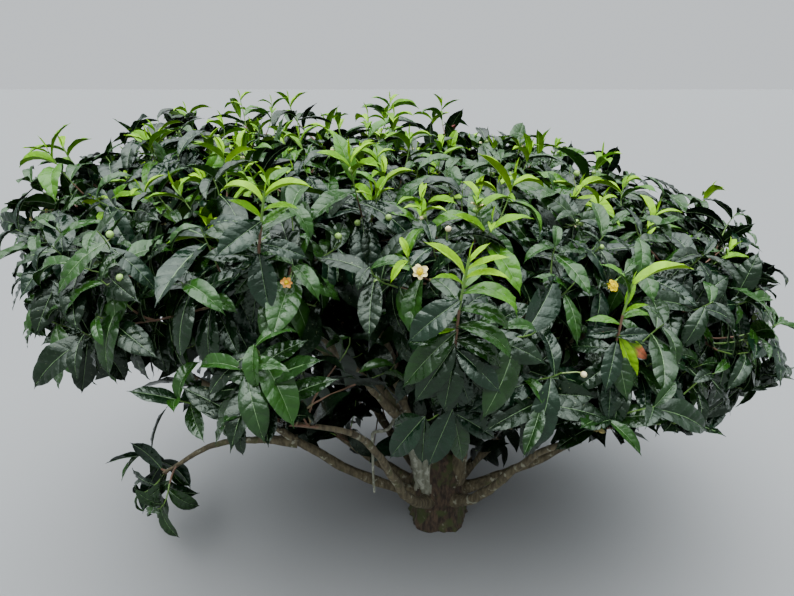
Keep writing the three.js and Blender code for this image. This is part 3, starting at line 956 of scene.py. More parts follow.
def rib_points(leaves):
    """Slim three-sided ribs, which stand out of both faces of the leaves from stalk to near the tip."""
    leaves = by_leaf(leaves, 1)
    along = np.linspace(0, RIB_END, RIB_ROWS)
    middle, normal = along_bend(leaves, leaves["arch"] * along)
    beside = np.cross(leaves["run"], leaves["face"])
    radius = (leaves["length"] * between(*RIB_RADIUS, along))[..., None]
    angles = [math.pi / 2 + FULL_TURN * k / 3 for k in range(3)]
    return np.stack([middle + radius * turned((beside, normal), angle) for angle in angles], axis=2)


def stage_of(number, kind, flush):
    """The stage and relative size of a shoot's leaf, counted from its tip."""
    first = {"leader": LEADER_LEAVES, "shade": []}.get(kind, FLUSH_LEAVES if flush else REST_LEAVES)
    return first[number] if number < len(first) else ("grown", 1.0)


def slot_of(stage, number, flush, tone, rng):
    """The material of a leaf: by its stage, and otherwise mostly its shoot's tone."""
    shaded = not flush and tone < FIRST_MID and rng.random() < DULL_TIP_SHARE
    if rng.random() < RARE_SHARE:
        return FIRST_RARE + int(rng.random() < 0.5)
    if stage in ("bud", "lime"):
        return FIRST_LIME + int(number < BRIGHT_LEAVES or rng.random() < BRIGHT_SHARE)
    if stage == "fresh" and flush:
        return FIRST_MID + int(number < FRESH_LEAVES) if number < GREEN_LEAVES else tone
    if stage == "fresh" and not shaded or rng.random() < FRESH_SHARE:
        return FIRST_MID
    return tone if rng.random() < TONE_KEPT else int(rng.integers(0, FIRST_MID))


# Leaves of the front leading shoots, then of the low whorls, from the tip down. Each row is: millimetres
# below the tip, the way round the stem in degrees (0 is +X and 270 the open front), the angle from the stem
# in radians, the length in millimetres, the width's share of it, the arch, how much the face turns to the
# open front, and the colour.
PLANNED_LEAVES = [
    [
        (1, 100, 0.15, 30, 0.14, 0.2, 0, BRIGHT), (12, 25, 0.5, 48, 0.24, 0.5, 0.2, BRIGHT),
        (22, 355, 0.85, 70, 0.24, 0.45, 0.2, BRIGHT), (32, 178, 0.62, 88, 0.25, 0.75, 0.3, BRIGHT),
        (39, 345, 0.78, 76, 0.25, 1.2, 0.2, BRIGHT), (50, 190, 0.8, 56, 0.25, 1.1, 0.2, LIME),
        (60, 60, 0.9, 88, 0.32, 1.2, 0.1, FRESH), (67, 350, 0.78, 130, 0.29, 2.4, 0.2, FRESH),
        (80, 212, 1.9, 112, 0.47, 0.7, 0.45, BLUE), (90, 120, 1.1, 100, 0.36, 1.2, 0.2, PLAIN),
        (100, 345, 0.98, 106, 0.3, 1.9, 0.2, MID), (113, 50, 1.2, 105, 0.38, 1.2, 0.4, BLUE),
        (122, 195, 1, 55, 0.34, 0.9, 0.2, FRESH), (135, 338, 1.18, 126, 0.3, 1.8, 0.2, MID),
        (140, 190, 1.6, 42, 0.3, 0.5, 0.5, LIME), (148, 218, 1.9, 138, 0.36, 0.85, 0.45, PLAIN),
        (158, 25, 1.3, 110, 0.38, 1.2, 0.5, DARK), (168, 333, 1.35, 104, 0.33, 1.5, 0.3, PLAIN),
        (176, 232, 2.05, 128, 0.38, 0.5, 0.8, DARK), (188, 312, 1.75, 112, 0.4, 0.75, 0.6, BLUE),
        (194, 160, 1.5, 105, 0.4, 0.9, 0.6, DARK), (200, 256, 2.2, 106, 0.48, 0.35, 0.9, DARK),
        (206, 204, 2.15, 100, 0.43, 0.4, 0.8, BLUE), (212, 335, 1.9, 118, 0.37, 0.65, 0.6, PLAIN),
        (222, 216, 2.25, 104, 0.44, 0.3, 0.8, DEEP_AND_SHADE), (227, 292, 2.4, 90, 0.42, 0.3, 0.9, BLUE),
        (236, 180, 2.05, 98, 0.42, 0.5, 0.7, DARK), (242, 328, 2.2, 90, 0.4, 0.4, 0.7, DEEP_AND_SHADE),
        (250, 250, 2.45, 94, 0.44, 0.2, 0.9, DARK), (258, 310, 2.5, 96, 0.42, 0.2, 0.8, DARK),
        (264, 215, 2.5, 96, 0.42, 0.2, 0.8, PLAIN), (272, 270, 2.6, 94, 0.42, 0.2, 0.9, BLUE),
        (278, 330, 2.3, 100, 0.42, 0.3, 0.8, DARK), (286, 235, 2.5, 100, 0.42, 0.2, 0.9, DARK),
        (294, 290, 2.6, 100, 0.42, 0.2, 0.9, PLAIN),
    ],
    [
        (1, 80, 0.15, 30, 0.14, 0.2, 0, BRIGHT), (10, 5, 0.5, 88, 0.25, 1.35, 0.2, BRIGHT),
        (18, 175, 0.6, 84, 0.27, 1.95, 0.2, BRIGHT), (34, 352, 0.8, 66, 0.28, 0.9, 0.2, LIME),
        (46, 188, 1, 62, 0.32, 0.3, 0.3, LIME), (52, 240, 1.75, 100, 0.48, 0.55, 0.9, BLUE),
        (60, 10, 0.7, 64, 0.36, 0.25, 0.3, FRESH), (74, 60, 1, 95, 0.36, 1.2, 0.1, MID),
        (86, 185, 1.35, 100, 0.38, 0.7, 0.4, PLAIN), (98, 345, 1.3, 90, 0.38, 0.9, 0.5, BLUE),
        (108, 120, 1.2, 100, 0.38, 1.1, 0.1, DARK), (118, 292, 2.1, 108, 0.5, 0.3, 0.9, BLUE),
        (130, 190, 1.3, 98, 0.38, 0.8, 0.4, DARK), (146, 235, 2.2, 72, 0.46, 0.3, 0.9, PLAIN),
        (158, 320, 2.05, 98, 0.42, 0.4, 0.7, DARK), (170, 200, 1.8, 105, 0.4, 0.6, 0.6, BLUE),
        (184, 270, 2.3, 95, 0.44, 0.3, 0.8, DARK), (200, 340, 1.9, 95, 0.42, 0.6, 0.6, PLAIN),
    ],
    [
        (1, 100, 0.15, 26, 0.14, 0.2, 0, BRIGHT), (6, 5, 0.62, 116, 0.27, 1.15, 0.1, BRIGHT),
        (26, 176, 0.18, 94, 0.3, 1.35, 0.4, FRESH), (46, 60, 0.5, 52, 0.26, 0.6, 0.1, LIME),
        (58, 330, 0.7, 46, 0.26, 0.5, 0.3, LIME), (70, 8, 0.8, 64, 0.3, 1.6, 0.2, FRESH),
        (82, 185, 0.9, 68, 0.32, 1.2, 0.2, FRESH), (94, 195, 1.5, 60, 0.42, 0.7, 0.6, BLUE),
        (102, 345, 2.62, 112, 0.23, 0.12, 0.8, BRIGHT), (106, 352, 1.3, 62, 0.42, 0.6, 0.6, BLUE),
        (114, 250, 2.3, 100, 0.4, 0.25, 0.9, BLUE), (96, 190, 1.45, 36, 0.42, 0.3, 0.8, RED),
        (106, 358, 2.15, 100, 0.26, 0.45, 0.8, YELLOW), (128, 285, 2.4, 102, 0.4, 0.25, 0.9, PLAIN),
        (140, 150, 1.5, 95, 0.4, 0.9, 0.4, DARK), (150, 320, 2.2, 80, 0.36, 0.45, 0.7, PLAIN),
        (164, 205, 2, 95, 0.4, 0.5, 0.7, DARK), (178, 20, 1.6, 90, 0.4, 0.7, 0.5, DARK),
        (190, 260, 2.3, 95, 0.42, 0.3, 0.8, BLUE),
    ],
    [
        (0, 205, 2.35, 120, 0.44, 0.45, 0.55, BLUE), (4, 255, 2.6, 100, 0.42, 0.2, 0.9, DARK),
        (8, 170, 1.9, 100, 0.38, 0.7, 0.5, DARK), (14, 220, 2.5, 105, 0.42, 0.3, 0.8, PLAIN),
    ],
    [
        (0, 232, 2.45, 128, 0.44, 0.45, 0.6, BLUE), (4, 290, 2.6, 124, 0.36, 0.35, 0.65, PLAIN),
        (8, 335, 2, 116, 0.36, 0.65, 0.5, BLUE), (14, 10, 1.75, 100, 0.38, 0.8, 0.5, DARK),
        (20, 310, 2.4, 110, 0.4, 0.3, 0.8, DARK),
    ],
]
OPEN_FRONT = np.array([0, -1.0, 0.25])
YOUNG_FOLD, YOUNG_CURL = 0.75, 0.2
OLD_FOLD, OLD_CURL = 0.5, 0.4
PLANNED_VARIES = (0.8, 1.2)
PLANNED_WAVES = (0.03, 0.10)
PLANNED_TWIST = 0.12


def leaf_face(tangent, across, run):
    """The way a leaf's upper side looks: along its stem, and upwards."""
    return square_to(tangent * FACE_ALONG + upwards(FACE_RISE) + across * FACE_ACROSS, run)


def planned_leaves(shoot, rng):
    """The leaves of a front leading shoot or a low whorl, from its rows."""
    curve = shoot["curve"]
    reach = curve.reach()
    leaves = []
    for down, way_round, spread, length, broad, arch, frontwards, slot in PLANNED_LEAVES[shoot["planned"]]:
        spot = np.interp(reach[-1] - down / 1000, reach, BEND_SAMPLES)
        tangent = curve.tangent(float(spot))
        across = square_to(heading(math.radians(way_round), 0), tangent)
        run = math.cos(spread) * tangent + math.sin(spread) * across
        face = between(leaf_face(tangent, across, run), square_to(OPEN_FRONT, run), frontwards)
        young = slot in (BRIGHT, LIME)
        leaf = dict(
            root=curve.at(spot),
            run=run,
            face=square_to(face, run),
            length=length / 1000,
            width=length / 1000 * broad,
            arch=arch,
            fold=(YOUNG_FOLD if young else OLD_FOLD) * rng.uniform(*PLANNED_VARIES),
            curl=(YOUNG_CURL if young else OLD_CURL) * rng.uniform(*PLANNED_VARIES),
            wave=rng.uniform(*PLANNED_WAVES),
            phase=rng.uniform(0, FULL_TURN),
            twist=rng.normal(0, PLANNED_TWIST),
            slot=slot,
            fine=True,
            torn=False,
            young=young,
        )
        leaves.append(leaf)
    return leaves


# The crown's hem over its open front. Its height falls inwards, and depends on the place across the front.
HEM_FALL = 0.66
HEM_PLACES = (-0.80, -0.56, -0.46, -0.30, -0.24, -0.15, -0.11, 0.07, 0.13, 0.30, 0.40, 0.55, 0.68, 0.85)
HEM_HEIGHTS = (0.39, 0.36, 0.29, 0.28, 0.40, 0.40, 0.22, 0.22, 0.25, 0.26, 0.29, 0.28, 0.37, 0.48)
HEM_BACK = 0.1
HEM_SCATTER = 0.02
HEM_TRIES = 4
LIFT_STEP = 0.4
LIFTED_ARCH = 0.75


def above_hem(leaf, rng):
    """Whether a leaf clears the hem. One that would hang below it is bent up a little at a time."""
    scatter = rng.normal(0, HEM_SCATTER)
    for _ in range(HEM_TRIES):
        end, _ = along_bend(leaf, leaf["arch"])
        hem = np.interp(end[0], HEM_PLACES, HEM_HEIGHTS) - HEM_FALL * end[1] + scatter
        if end[1] > HEM_BACK or end[2] > hem:
            return True
        leaf["run"] = unit(leaf["run"] + upwards(LIFT_STEP))
        leaf["face"] = square_to(leaf["face"], leaf["run"])
        leaf["arch"] = LIFTED_ARCH * leaf["arch"]
    return False


# The placed flowers, buds and fruit, and the lines towards the open front that other leaves keep clear of.
OPEN_FLOWERS = [
    dict(place=(-0.090, -0.553, 1.002), size=0.85, brush=1.35, petals=0),
    dict(place=(0.276, -0.486, 0.952), size=0.70, brush=1.60, petals=1),
    dict(place=(-0.320, -0.577, 0.991), size=0.60, brush=1.0, petals=2),
]
FRUITS = [
    (-0.648, -0.491, 1.052),
    (-0.625, -0.529, 0.983),
    (-0.215, -0.269, 1.016),
    (-0.247, -0.382, 1.018),
    (-0.140, -0.327, 1.035),
    (0.280, -0.157, 1.103),
]
CREAM_BUDS = [(-0.038, -0.494, 1.063), (0.199, -0.607, 0.831)]
SHOWN_LEAVES = [
    (0.270, -0.560, 0.850),
    (0.268, -0.560, 0.810),
    (0.305, -0.560, 0.830),
    (0.262, -0.560, 0.775),
]
FLOWERS_FACE = np.array([-0.13, -1.57, 1.35])
CLEAR_LENGTH = 0.30
CLEAR_RADIUS = 0.027
CLEAR_SHARES = np.array([0.2, 0.5, 0.8])

clear_feet = np.array([*(plan["place"] for plan in OPEN_FLOWERS), *FRUITS, *CREAM_BUDS, *SHOWN_LEAVES])
clear_ways = FLOWERS_FACE - clear_feet
clear_ways /= np.linalg.norm(clear_ways, axis=1)[:, None]


def hides_blossom(leaf):
    """True for a leaf that would hang in front of a placed flower, bud or fruit."""
    points, _ = along_bend(leaf, leaf["arch"] * CLEAR_SHARES)
    gaps = points[:, None, :] - clear_feet
    along = np.clip((gaps * clear_ways).sum(-1), 0, CLEAR_LENGTH)
    apart = np.linalg.norm(gaps - along[..., None] * clear_ways, axis=-1)
    return bool(np.any((apart < CLEAR_RADIUS) & (along > 0)))


def leaves_of(shoot, rng):
    """The leaves of one shoot from its tip down: each a dictionary of numbers."""
    if "planned" in shoot:
        return planned_leaves(shoot, rng)
    curve, kind, flush = shoot["curve"], shoot["kind"], shoot["flush"]
    plan = SHOOTS[kind]
    reach = curve.reach()
    size = plan["size"] * rng.uniform(1 - SIZE_SPREAD, 1 + SIZE_SPREAD)
    # Leaves of inner shoots and bough sprays take the deep green as painted shade, which darkens the crown's
    # interior; other shoots draw their tone at random.
    tone = DEEP_AND_SHADE if kind in ("inner", "shade") else int(rng.integers(0, FIRST_MID))
    if kind in ("outer", "tall") and rng.random() < np.interp(curve.tip[2], *MID_SHARES):
        tone = FIRST_MID
    turn = rng.uniform(0, FULL_TURN)
    leaves = []
    down = 0.0
    for i in range(int(round(plan["leaves"] * rng.uniform(*VARIES["leaves"])))):
        if down > LEAVES_END * reach[-1]:
            break
        spot = np.interp(reach[-1] - down, reach, BEND_SAMPLES)
        tangent = curve.tangent(float(spot))
        across = turned(sides_of(tangent), turn)
        turn += GOLDEN_ANGLE + rng.normal(0, TURN_SCATTER)
        stage, share = stage_of(i, kind, flush)
        form = STAGES[stage]
        length = size * share * form["length"] * rng.uniform(*VARIES["length"])
        spread = form["spread"] + rng.normal(0, SPREAD_SCATTER)
        run = math.cos(spread) * tangent + math.sin(spread) * across
        sag = between(*SAG, min(1, i / FULL_SAG_FROM))
        run[2] -= form["droop"] * sag * rng.uniform(*VARIES["sag"]) * (1 - RAISED_SAG * max(0, across[2]))
        run = unit(run)
        leaf = dict(
            root=curve.at(spot),
            run=run,
            face=leaf_face(tangent, across, run),
            length=length,
            width=length * form["broad"] * rng.uniform(*VARIES["width"]),
            arch=form["arch"] * rng.uniform(*VARIES["arch"]),
            fold=form["fold"] * rng.uniform(*VARIES["fold"]),
            curl=form["curl"] * rng.uniform(*VARIES["curl"]),
            wave=rng.uniform(*WAVES),
            phase=rng.uniform(0, FULL_TURN),
            twist=rng.normal(0, TWIST_SCATTER),
            slot=slot_of(stage, i, flush, tone, rng),
            fine=kind in ("leader", "tall") or kind == "outer" and i < FINE_LEAVES,
            torn=stage == "grown" and rng.random() < TORN_SHARE,
            young=stage in ("bud", "lime"),
        )
        if hides_blossom(leaf):
            down += LEAF_GAPS[1] * plan["gap"]
            continue
        if shoot["low"] or above_hem(leaf, rng):
            leaves.append(leaf)
        down += between(*LEAF_GAPS, min(1, i / FULL_GAP_FROM)) * rng.uniform(*VARIES["gap"]) * plan["gap"]
    return leaves


def add_leaves(piece, leaves, rows, columns, quilted, rng):
    """Adds blades to a piece, with a bite out of the rim of the torn ones, and returns the leaves added.

    Leaves that pass the reach are left out.
    """
    points = blade_points(leaves, rows, columns, quilted)
    flat = points.reshape(len(points), -1, 3)
    inside = np.all((flat.min(1) > cad_low) & (flat.max(1) < cad_high), axis=1)
    points = points[inside]
    added = [leaf for leaf, kept in zip(leaves, inside) if kept]
    slots = np.array([leaf["slot"] for leaf in added])
    torn = np.array([leaf["torn"] for leaf in added])
    width = len(columns)
    quads = grid_quads(rows, width)
    along, beside = np.meshgrid(np.linspace(0, 1, rows), (columns + 1) / 2, indexing="ij")
    places = np.stack([along, beside], axis=-1).reshape(-1, 2)
    creases = crease_pairs(rows, width) if quilted else np.zeros((0, 2), np.int64)
    for slot in np.unique(slots):
        whole = np.flatnonzero((slots == slot) & ~torn)
        if len(whole):
            offsets = (np.arange(len(whole)) * rows * width)[:, None, None]
            many_quads, many_creases = (quads + offsets).reshape(-1, 4), (creases + offsets).reshape(-1, 2)
            piece.add(points[whole], many_quads, slot, np.tile(places, (len(whole), 1)), many_creases)
    row, column = quads[:, 0] // width, quads[:, 0] % width
    for k in np.flatnonzero(torn):
        lost = int(rng.integers(rows // 3, rows - 3))
        side = int(rng.choice([0, width - 2]))
        bitten = (np.abs(row - lost) <= rows // 12) & (column == side)
        piece.add(points[k], quads[~bitten], slots[k], places, creases)
    return added


def add_ribs(piece, leaves):
    points = rib_points(leaves)
    young = np.array([leaf["young"] for leaf in leaves])
    quads = grid_quads(RIB_ROWS, 3, closed=True)
    for slot in (0, 1):
        chosen = np.flatnonzero(young == bool(slot))
        if len(chosen):
            shifted = quads[None] + (np.arange(len(chosen)) * RIB_ROWS * 3)[:, None, None]
            piece.add(points[chosen], shifted.reshape(-1, 4), slot)


def add_twig(piece, shoot, mass):
    """Adds a shoot's stem: green near its tip, then red-brown, then olive."""
    points = shoot["curve"].at(np.linspace(0, 1, TWIG_ROWS))
    radii = (TWIG_RADIUS if shoot["curve"] in mass["twigs"] else SHOOT_RADIUS, SHOOT_TIP_RADIUS)
    if shoot["kind"] == "leader":
        radii = LEADER_RADII
    from_tip = steps_along(points)[::-1].cumsum()[::-1]
    older = np.where(from_tip < RED_FROM_TIP, STEM_RED, STEM_OLIVE)
    slots = np.where(from_tip < GREEN_FROM_TIP, STEM_GREEN, older)
    add_stalk(piece, points, np.linspace(*radii, TWIG_ROWS), TWIG_SIDES, slots)


def add_mass_stem(piece, mass):
    rows = MASS_STEM_ROWS
    points = mass["stem"].at(np.linspace(0, 1, rows))
    radii = np.linspace(BOUGH_TIP_RADIUS, STEM_END_RADIUS, rows)
    add_stalk(piece, points, radii, MASS_STEM_SIDES, [STEM_BARK] * (rows - 1))


def settle_shoot(shoot, mass):
    """Whether a shoot is in flush, by its height and kind, and whether it may hang below the hem."""
    often = np.interp(shoot["curve"].tip[2], *FLUSH_SHARES)
    likely = {"leader": 1, "tall": between(*TALL_FLUSH, often), "outer": often}.get(shoot["kind"], 0)
    shoot["flush"] = chance(shoot["seed"], FLUSH_DRAW) < likely
    shoot["low"] = mass["ring"] is LOW_SPRAY


# The regions of the crown whose leaves are joined, and the place that parts right from left.
GROUPS = ("inner", "upper_right", "upper_left", "lower_right", "lower_left")
GROUP_EDGE = -0.1


def group_of(mass):
    """The region of the crown whose leaves a mass's leaves are joined with."""
    ring = "lower" if mass["ring"] is LOW_SPRAY else mass["ring"]["name"]
    if ring == "inner":
        return ring
    return f"{ring}_right" if mass["middle"][0] > GROUP_EDGE else f"{ring}_left"


def finish_piece(piece, nodes):
    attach(piece, "root")
    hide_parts(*nodes)


rng = np.random.default_rng(SEED)

for group in GROUPS:
    members = [mass for mass in masses if group_of(mass) == group]
    nodes = [f"foliage_{mass['name']}" for mass in members]
    leaf_piece, rib_piece, twig_piece = Piece(), Piece(), Piece()
    leaves = []
    for mass in members:
        add_mass_stem(twig_piece, mass)
        for shoot in mass["shoots"]:
            settle_shoot(shoot, mass)
            leaves += leaves_of(shoot, np.random.default_rng([SEED, shoot["seed"]]))
            add_twig(twig_piece, shoot, mass)
    fine = [leaf for leaf in leaves if leaf["fine"]]
    plain = [leaf for leaf in leaves if not leaf["fine"]]
    add_ribs(rib_piece, add_leaves(leaf_piece, fine, FINE_ROWS, FINE_COLUMNS, True, rng))
    add_leaves(leaf_piece, plain, PLAIN_ROWS, PLAIN_COLUMNS, False, rng)
    finish_piece(leaf_piece.build(f"leaves_{group}", LEAF_MATERIALS), nodes)
    finish_piece(rib_piece.build(f"leaf_ribs_{group}", RIB_MATERIALS), nodes)
    finish_piece(twig_piece.build(f"twigs_{group}", STEM_MATERIALS), nodes)

# Blossom, flower buds and fruit.

BLOSSOM_MATERIALS = [
    smooth_material("petal_cream", (0.740, 0.640, 0.300), 0.60, lighter=1.15, shine=0.2),
    smooth_material("stamen_yellow", (0.620, 0.465, 0.001), 0.80, lighter=1.05, shine=0.04),
    smooth_material("petal_withered", (0.480, 0.210, 0.030), 0.60),
    smooth_material("sepal_green", (0.160, 0.270, 0.060), 0.50),
]
STAMEN_SLOT, SEPAL_SLOT = 1, 3
FRUIT_MATERIALS = [
    smooth_material("fruit_green", (0.230, 0.380, 0.090), 0.40, lighter=1.25),
    smooth_material("flower_bud_cream", (0.640, 0.560, 0.300), 0.45, lighter=1.2),
    smooth_material("fruit_stalk", (0.150, 0.210, 0.060), 0.50),
]
FRUIT_SLOT, BUD_SLOT, FRUIT_STALK_SLOT = range(3)
PETALS = 6
PETAL_LENGTH = 0.0165
PETAL_BROAD = 0.85
PETAL_OPENING = (0.5, 1.25)
PETAL_ROWS = 5
PETAL_COLUMNS = np.array([-1, -0.5, 0, 0.5, 1])
PETAL_OUTLINE = (0.12, 0.80, 0.7)
PETAL_FOOT = 0.0012
PETAL_CUP = 0.35
PETAL_NOD = 0.10
PETAL_UNEVEN = 0.06
PETAL_STEP = 0.0005
PETAL_SCATTER = 0.12
PETAL_OPENS = (0.75, 1.1)
FLOWER_PARTS_VARY = (0.85, 1.1)
SEPALS = 5
SEPAL_LENGTH = 0.005
SEPAL_ROWS = 3
SEPAL_OPENING = 1.0
SEPALS_BELOW = 0.001
STAMENS = 40
STAMEN_LENGTH = 0.0100
STAMEN_SPREAD = 0.95
STAMEN_PLACES = np.array([0.1, 0.55, 0.85, 1.0])
STAMEN_RADII = (0.0003, 0.0003, 0.0009, 0.0003)
BRUSH_CORE = 0.0054
BRUSH_FLATNESS = 0.7
STALK_LENGTH = 0.011
STALK_RADII = (0.0011, 0.0015)
STALK_PULL = 0.4
LONGEST_STALK = 0.045
FLOWER_NODS = 0.5
GLOBE_NODS = 0.3
GLOBE_STALK = 0.8
GLOBE_SEPALS = 0.9
GLOBE_STRETCH = (0.92, 1.12)
GLOBE_ROWS = 6
GLOBE_COLUMNS = 9
GLOBE_POLE = 0.05
SOLID_FLOWER_EVERY = 11
SOLID_FLOWER_FIRST = 2
SOLID_FLOWER_PLACE = 0.62
SOLID_FLOWER_AXIS = np.array([0.1, -0.2, -0.97])
FRUIT_SHARE = 0.08
BUD_SHARE = 0.08
BUDS_TOGETHER = 2
FLOWER_SHARE = 0.018
BLOSSOM_FEET = (0.72, 0.93)
BLOSSOM_LEAN = 0.35
BUD_LEAN = 0.45
BLOSSOM_FRONTWARDS = np.array([0, -0.6, 0.0])
FLOWER_FRONTWARDS = np.array([0, -0.6, 0.1])
BEARING_SHARES = np.linspace(0.3, 0.97, 20)
FRUIT_RADII = (0.0042, 0.0072)
BUD_RADII = (0.0032, 0.0058)


def petal(piece, centre, axis, side, opening, length, slot, rng, rows=PETAL_ROWS, columns=PETAL_COLUMNS):
    """A cupped petal, which rises along the flower's axis and opens to one side."""
    share = np.linspace(0, 1, rows)[:, None]
    edge = columns[None, :]
    angle = between(PETAL_OPENING[0], opening, share)
    start, reach, fullness = PETAL_OUTLINE
    width = 0.5 * length * PETAL_BROAD * np.sin(math.pi * np.clip(start + reach * share, 0, 1)) ** fullness
    out = length * share * np.sin(angle) + PETAL_FOOT
    up = length * share * np.cos(angle) + PETAL_CUP * width * edge**2 - PETAL_NOD * length * share**3
    up = up + rng.uniform(-1, 1) * PETAL_UNEVEN * length * share**2
    across = np.cross(axis, side)
    points = centre + out[..., None] * side + up[..., None] * axis + (width * edge)[..., None] * across
    piece.add(points, grid_quads(rows, len(columns)), slot)


def globe(piece, centre, radius, axis, slot, stretch):
    """A ball, flattened or drawn out along its axis."""
    side, across = sides_of(axis)
    pole = math.pi / 2 - GLOBE_POLE
    latitude = np.linspace(-pole, pole, GLOBE_ROWS)[:, None, None]
    turn = (np.arange(GLOBE_COLUMNS) * FULL_TURN / GLOBE_COLUMNS)[None, :, None]
    around = np.cos(turn) * side + np.sin(turn) * across
    points = centre + radius * (np.cos(latitude) * around + stretch * np.sin(latitude) * axis)
    piece.add(points, grid_quads(GLOBE_ROWS, GLOBE_COLUMNS, closed=True), slot)


def sepals(piece, centre, axis, size, slot, rng):
    sides = sides_of(axis)
    for k in range(SEPALS):
        outwards = turned(sides, FULL_TURN * k / SEPALS)
        petal(piece, centre, axis, outwards, SEPAL_OPENING, size, slot, rng, SEPAL_ROWS, PLAIN_COLUMNS)


def stalk(piece, foot, centre, axis, slot):
    points = Bend(foot, unit(centre - foot), centre, axis, STALK_PULL).at(np.linspace(0, 1, 4))
    add_stalk(piece, points, np.linspace(*STALK_RADII, 4), 4, [slot] * 3)


def placed(foot, place):
    """A place that a stalk from its foot can reach."""
    return foot + (place - foot) * min(1, LONGEST_STALK / gap(place, foot))


def open_flower(piece, foot, axis, rng, centre=None, size=1.0, brush=1.0, petals=0):
    """Cream petals round a brush of yellow stamens, on a stalk."""
    if centre is None:
        centre = foot + STALK_LENGTH * unit(axis - upwards(FLOWER_NODS))
    stalk(piece, foot, centre, axis, SEPAL_SLOT)
    sepals(piece, centre - SEPALS_BELOW * axis, axis, SEPAL_LENGTH, SEPAL_SLOT, rng)
    sides = sides_of(axis)
    start = rng.uniform(0, FULL_TURN)
    for k in range(PETALS):
        outwards = turned(sides, start + FULL_TURN * k / PETALS + rng.normal(0, PETAL_SCATTER))
        opening = PETAL_OPENING[1] * rng.uniform(*PETAL_OPENS)
        length = size * PETAL_LENGTH * rng.uniform(*FLOWER_PARTS_VARY)
        petal(piece, centre + PETAL_STEP * (k % 2) * axis, axis, outwards, opening, length, petals, rng)
    for k in range(STAMENS):
        lean = brush * STAMEN_SPREAD * math.sqrt((k + 0.5) / STAMENS)
        towards = math.cos(lean) * axis + math.sin(lean) * turned(sides, k * GOLDEN_ANGLE)
        length = size * brush * STAMEN_LENGTH * rng.uniform(*FLOWER_PARTS_VARY)
        points = centre + STAMEN_PLACES[:, None] * length * towards
        add_stalk(piece, points, STAMEN_RADII, 3, [STAMEN_SLOT] * 3)
    core = size * BRUSH_CORE
    globe(piece, centre + core * axis, core * brush, axis, STAMEN_SLOT, BRUSH_FLATNESS)


def hanging_globe(piece, foot, axis, radius, slot, rng, centre=None):
    """A fruit or a flower bud on its stalk, held by small sepals."""
    if centre is None:
        centre = foot + STALK_LENGTH * GLOBE_STALK * unit(axis - upwards(GLOBE_NODS))
    stalk(piece, foot, centre, axis, FRUIT_STALK_SLOT)
    sepals(piece, centre, axis, GLOBE_SEPALS * radius, FRUIT_STALK_SLOT, rng)
    globe(piece, centre + radius * axis, radius, axis, slot, GLOBE_STRETCH[slot])


def outwards_at(point):
    """The way out of the crown at a point, a little upwards."""
    return unit((point - CROWN_MIDDLE) / CROWN_HALF_SIZE)


def nearest_twig_point(place):
    """The place nearest to a point on any shoot, near enough to its tip to bear flowers."""
    shoots = [shoot for mass in masses for shoot in mass["shoots"]]
    points = np.concatenate([shoot["curve"].at(BEARING_SHARES) for shoot in shoots])
    return points[np.argmin(np.linalg.norm(points - place, axis=1))]


def grow_blossom(shoot, rng):
    """The fruit, the buds and the flower that a shoot bears by chance."""
    for share, draw in ((FRUIT_SHARE, FRUIT_DRAW), (BUD_SHARE, BUD_DRAW), (FLOWER_SHARE, FLOWER_DRAW)):
        if chance(shoot["seed"], draw) > share:
            continue
        foot = shoot["curve"].at(between(*BLOSSOM_FEET, chance(shoot["seed"], draw + BLOSSOM_FOOT_DRAW)))
        axis = unit(outwards_at(foot) + rng.normal(0, BLOSSOM_LEAN, 3))
        if draw == FRUIT_DRAW:
            hanging_globe(fruit, foot, axis, rng.uniform(*FRUIT_RADII), FRUIT_SLOT, rng)
        elif draw == BUD_DRAW:
            for _ in range(BUDS_TOGETHER):
                axis = unit(outwards_at(foot) + rng.normal(0, BUD_LEAN, 3))
                hanging_globe(fruit, foot, axis, rng.uniform(*BUD_RADII), int(rng.random() < 0.5), rng)
        else:
            open_flower(blossom, foot, axis, rng)


blossom, fruit = Piece(), Piece()
for mass in masses:
    for twig in mass["twigs"][SOLID_FLOWER_FIRST::SOLID_FLOWER_EVERY]:
        open_flower(blossom, twig.at(SOLID_FLOWER_PLACE), SOLID_FLOWER_AXIS, rng)
    for shoot in mass["shoots"]:
        if shoot["kind"] in ("outer", "tall"):
            grow_blossom(shoot, rng)
for plan in OPEN_FLOWERS:
    place = np.array(plan["place"])
    foot = nearest_twig_point(place)
    axis = unit(outwards_at(place) + FLOWER_FRONTWARDS)
    open_flower(blossom, foot, axis, rng, placed(foot, place), plan["size"], plan["brush"], plan["petals"])
for slot, places, radii in ((FRUIT_SLOT, FRUITS, FRUIT_RADII), (BUD_SLOT, CREAM_BUDS, BUD_RADII)):
    for place in np.array(places):
        foot = nearest_twig_point(place)
        axis = unit(outwards_at(place) + BLOSSOM_FRONTWARDS)
        hanging_globe(fruit, foot, axis, radii[1], slot, rng, centre=placed(foot, place))

foliage_nodes = [f"foliage_{mass['name']}" for mass in masses]
finish_piece(blossom.build("blossom", BLOSSOM_MATERIALS), foliage_nodes)
finish_piece(fruit.build("fruit_and_buds", FRUIT_MATERIALS), foliage_nodes)

# Boughs and trunk.

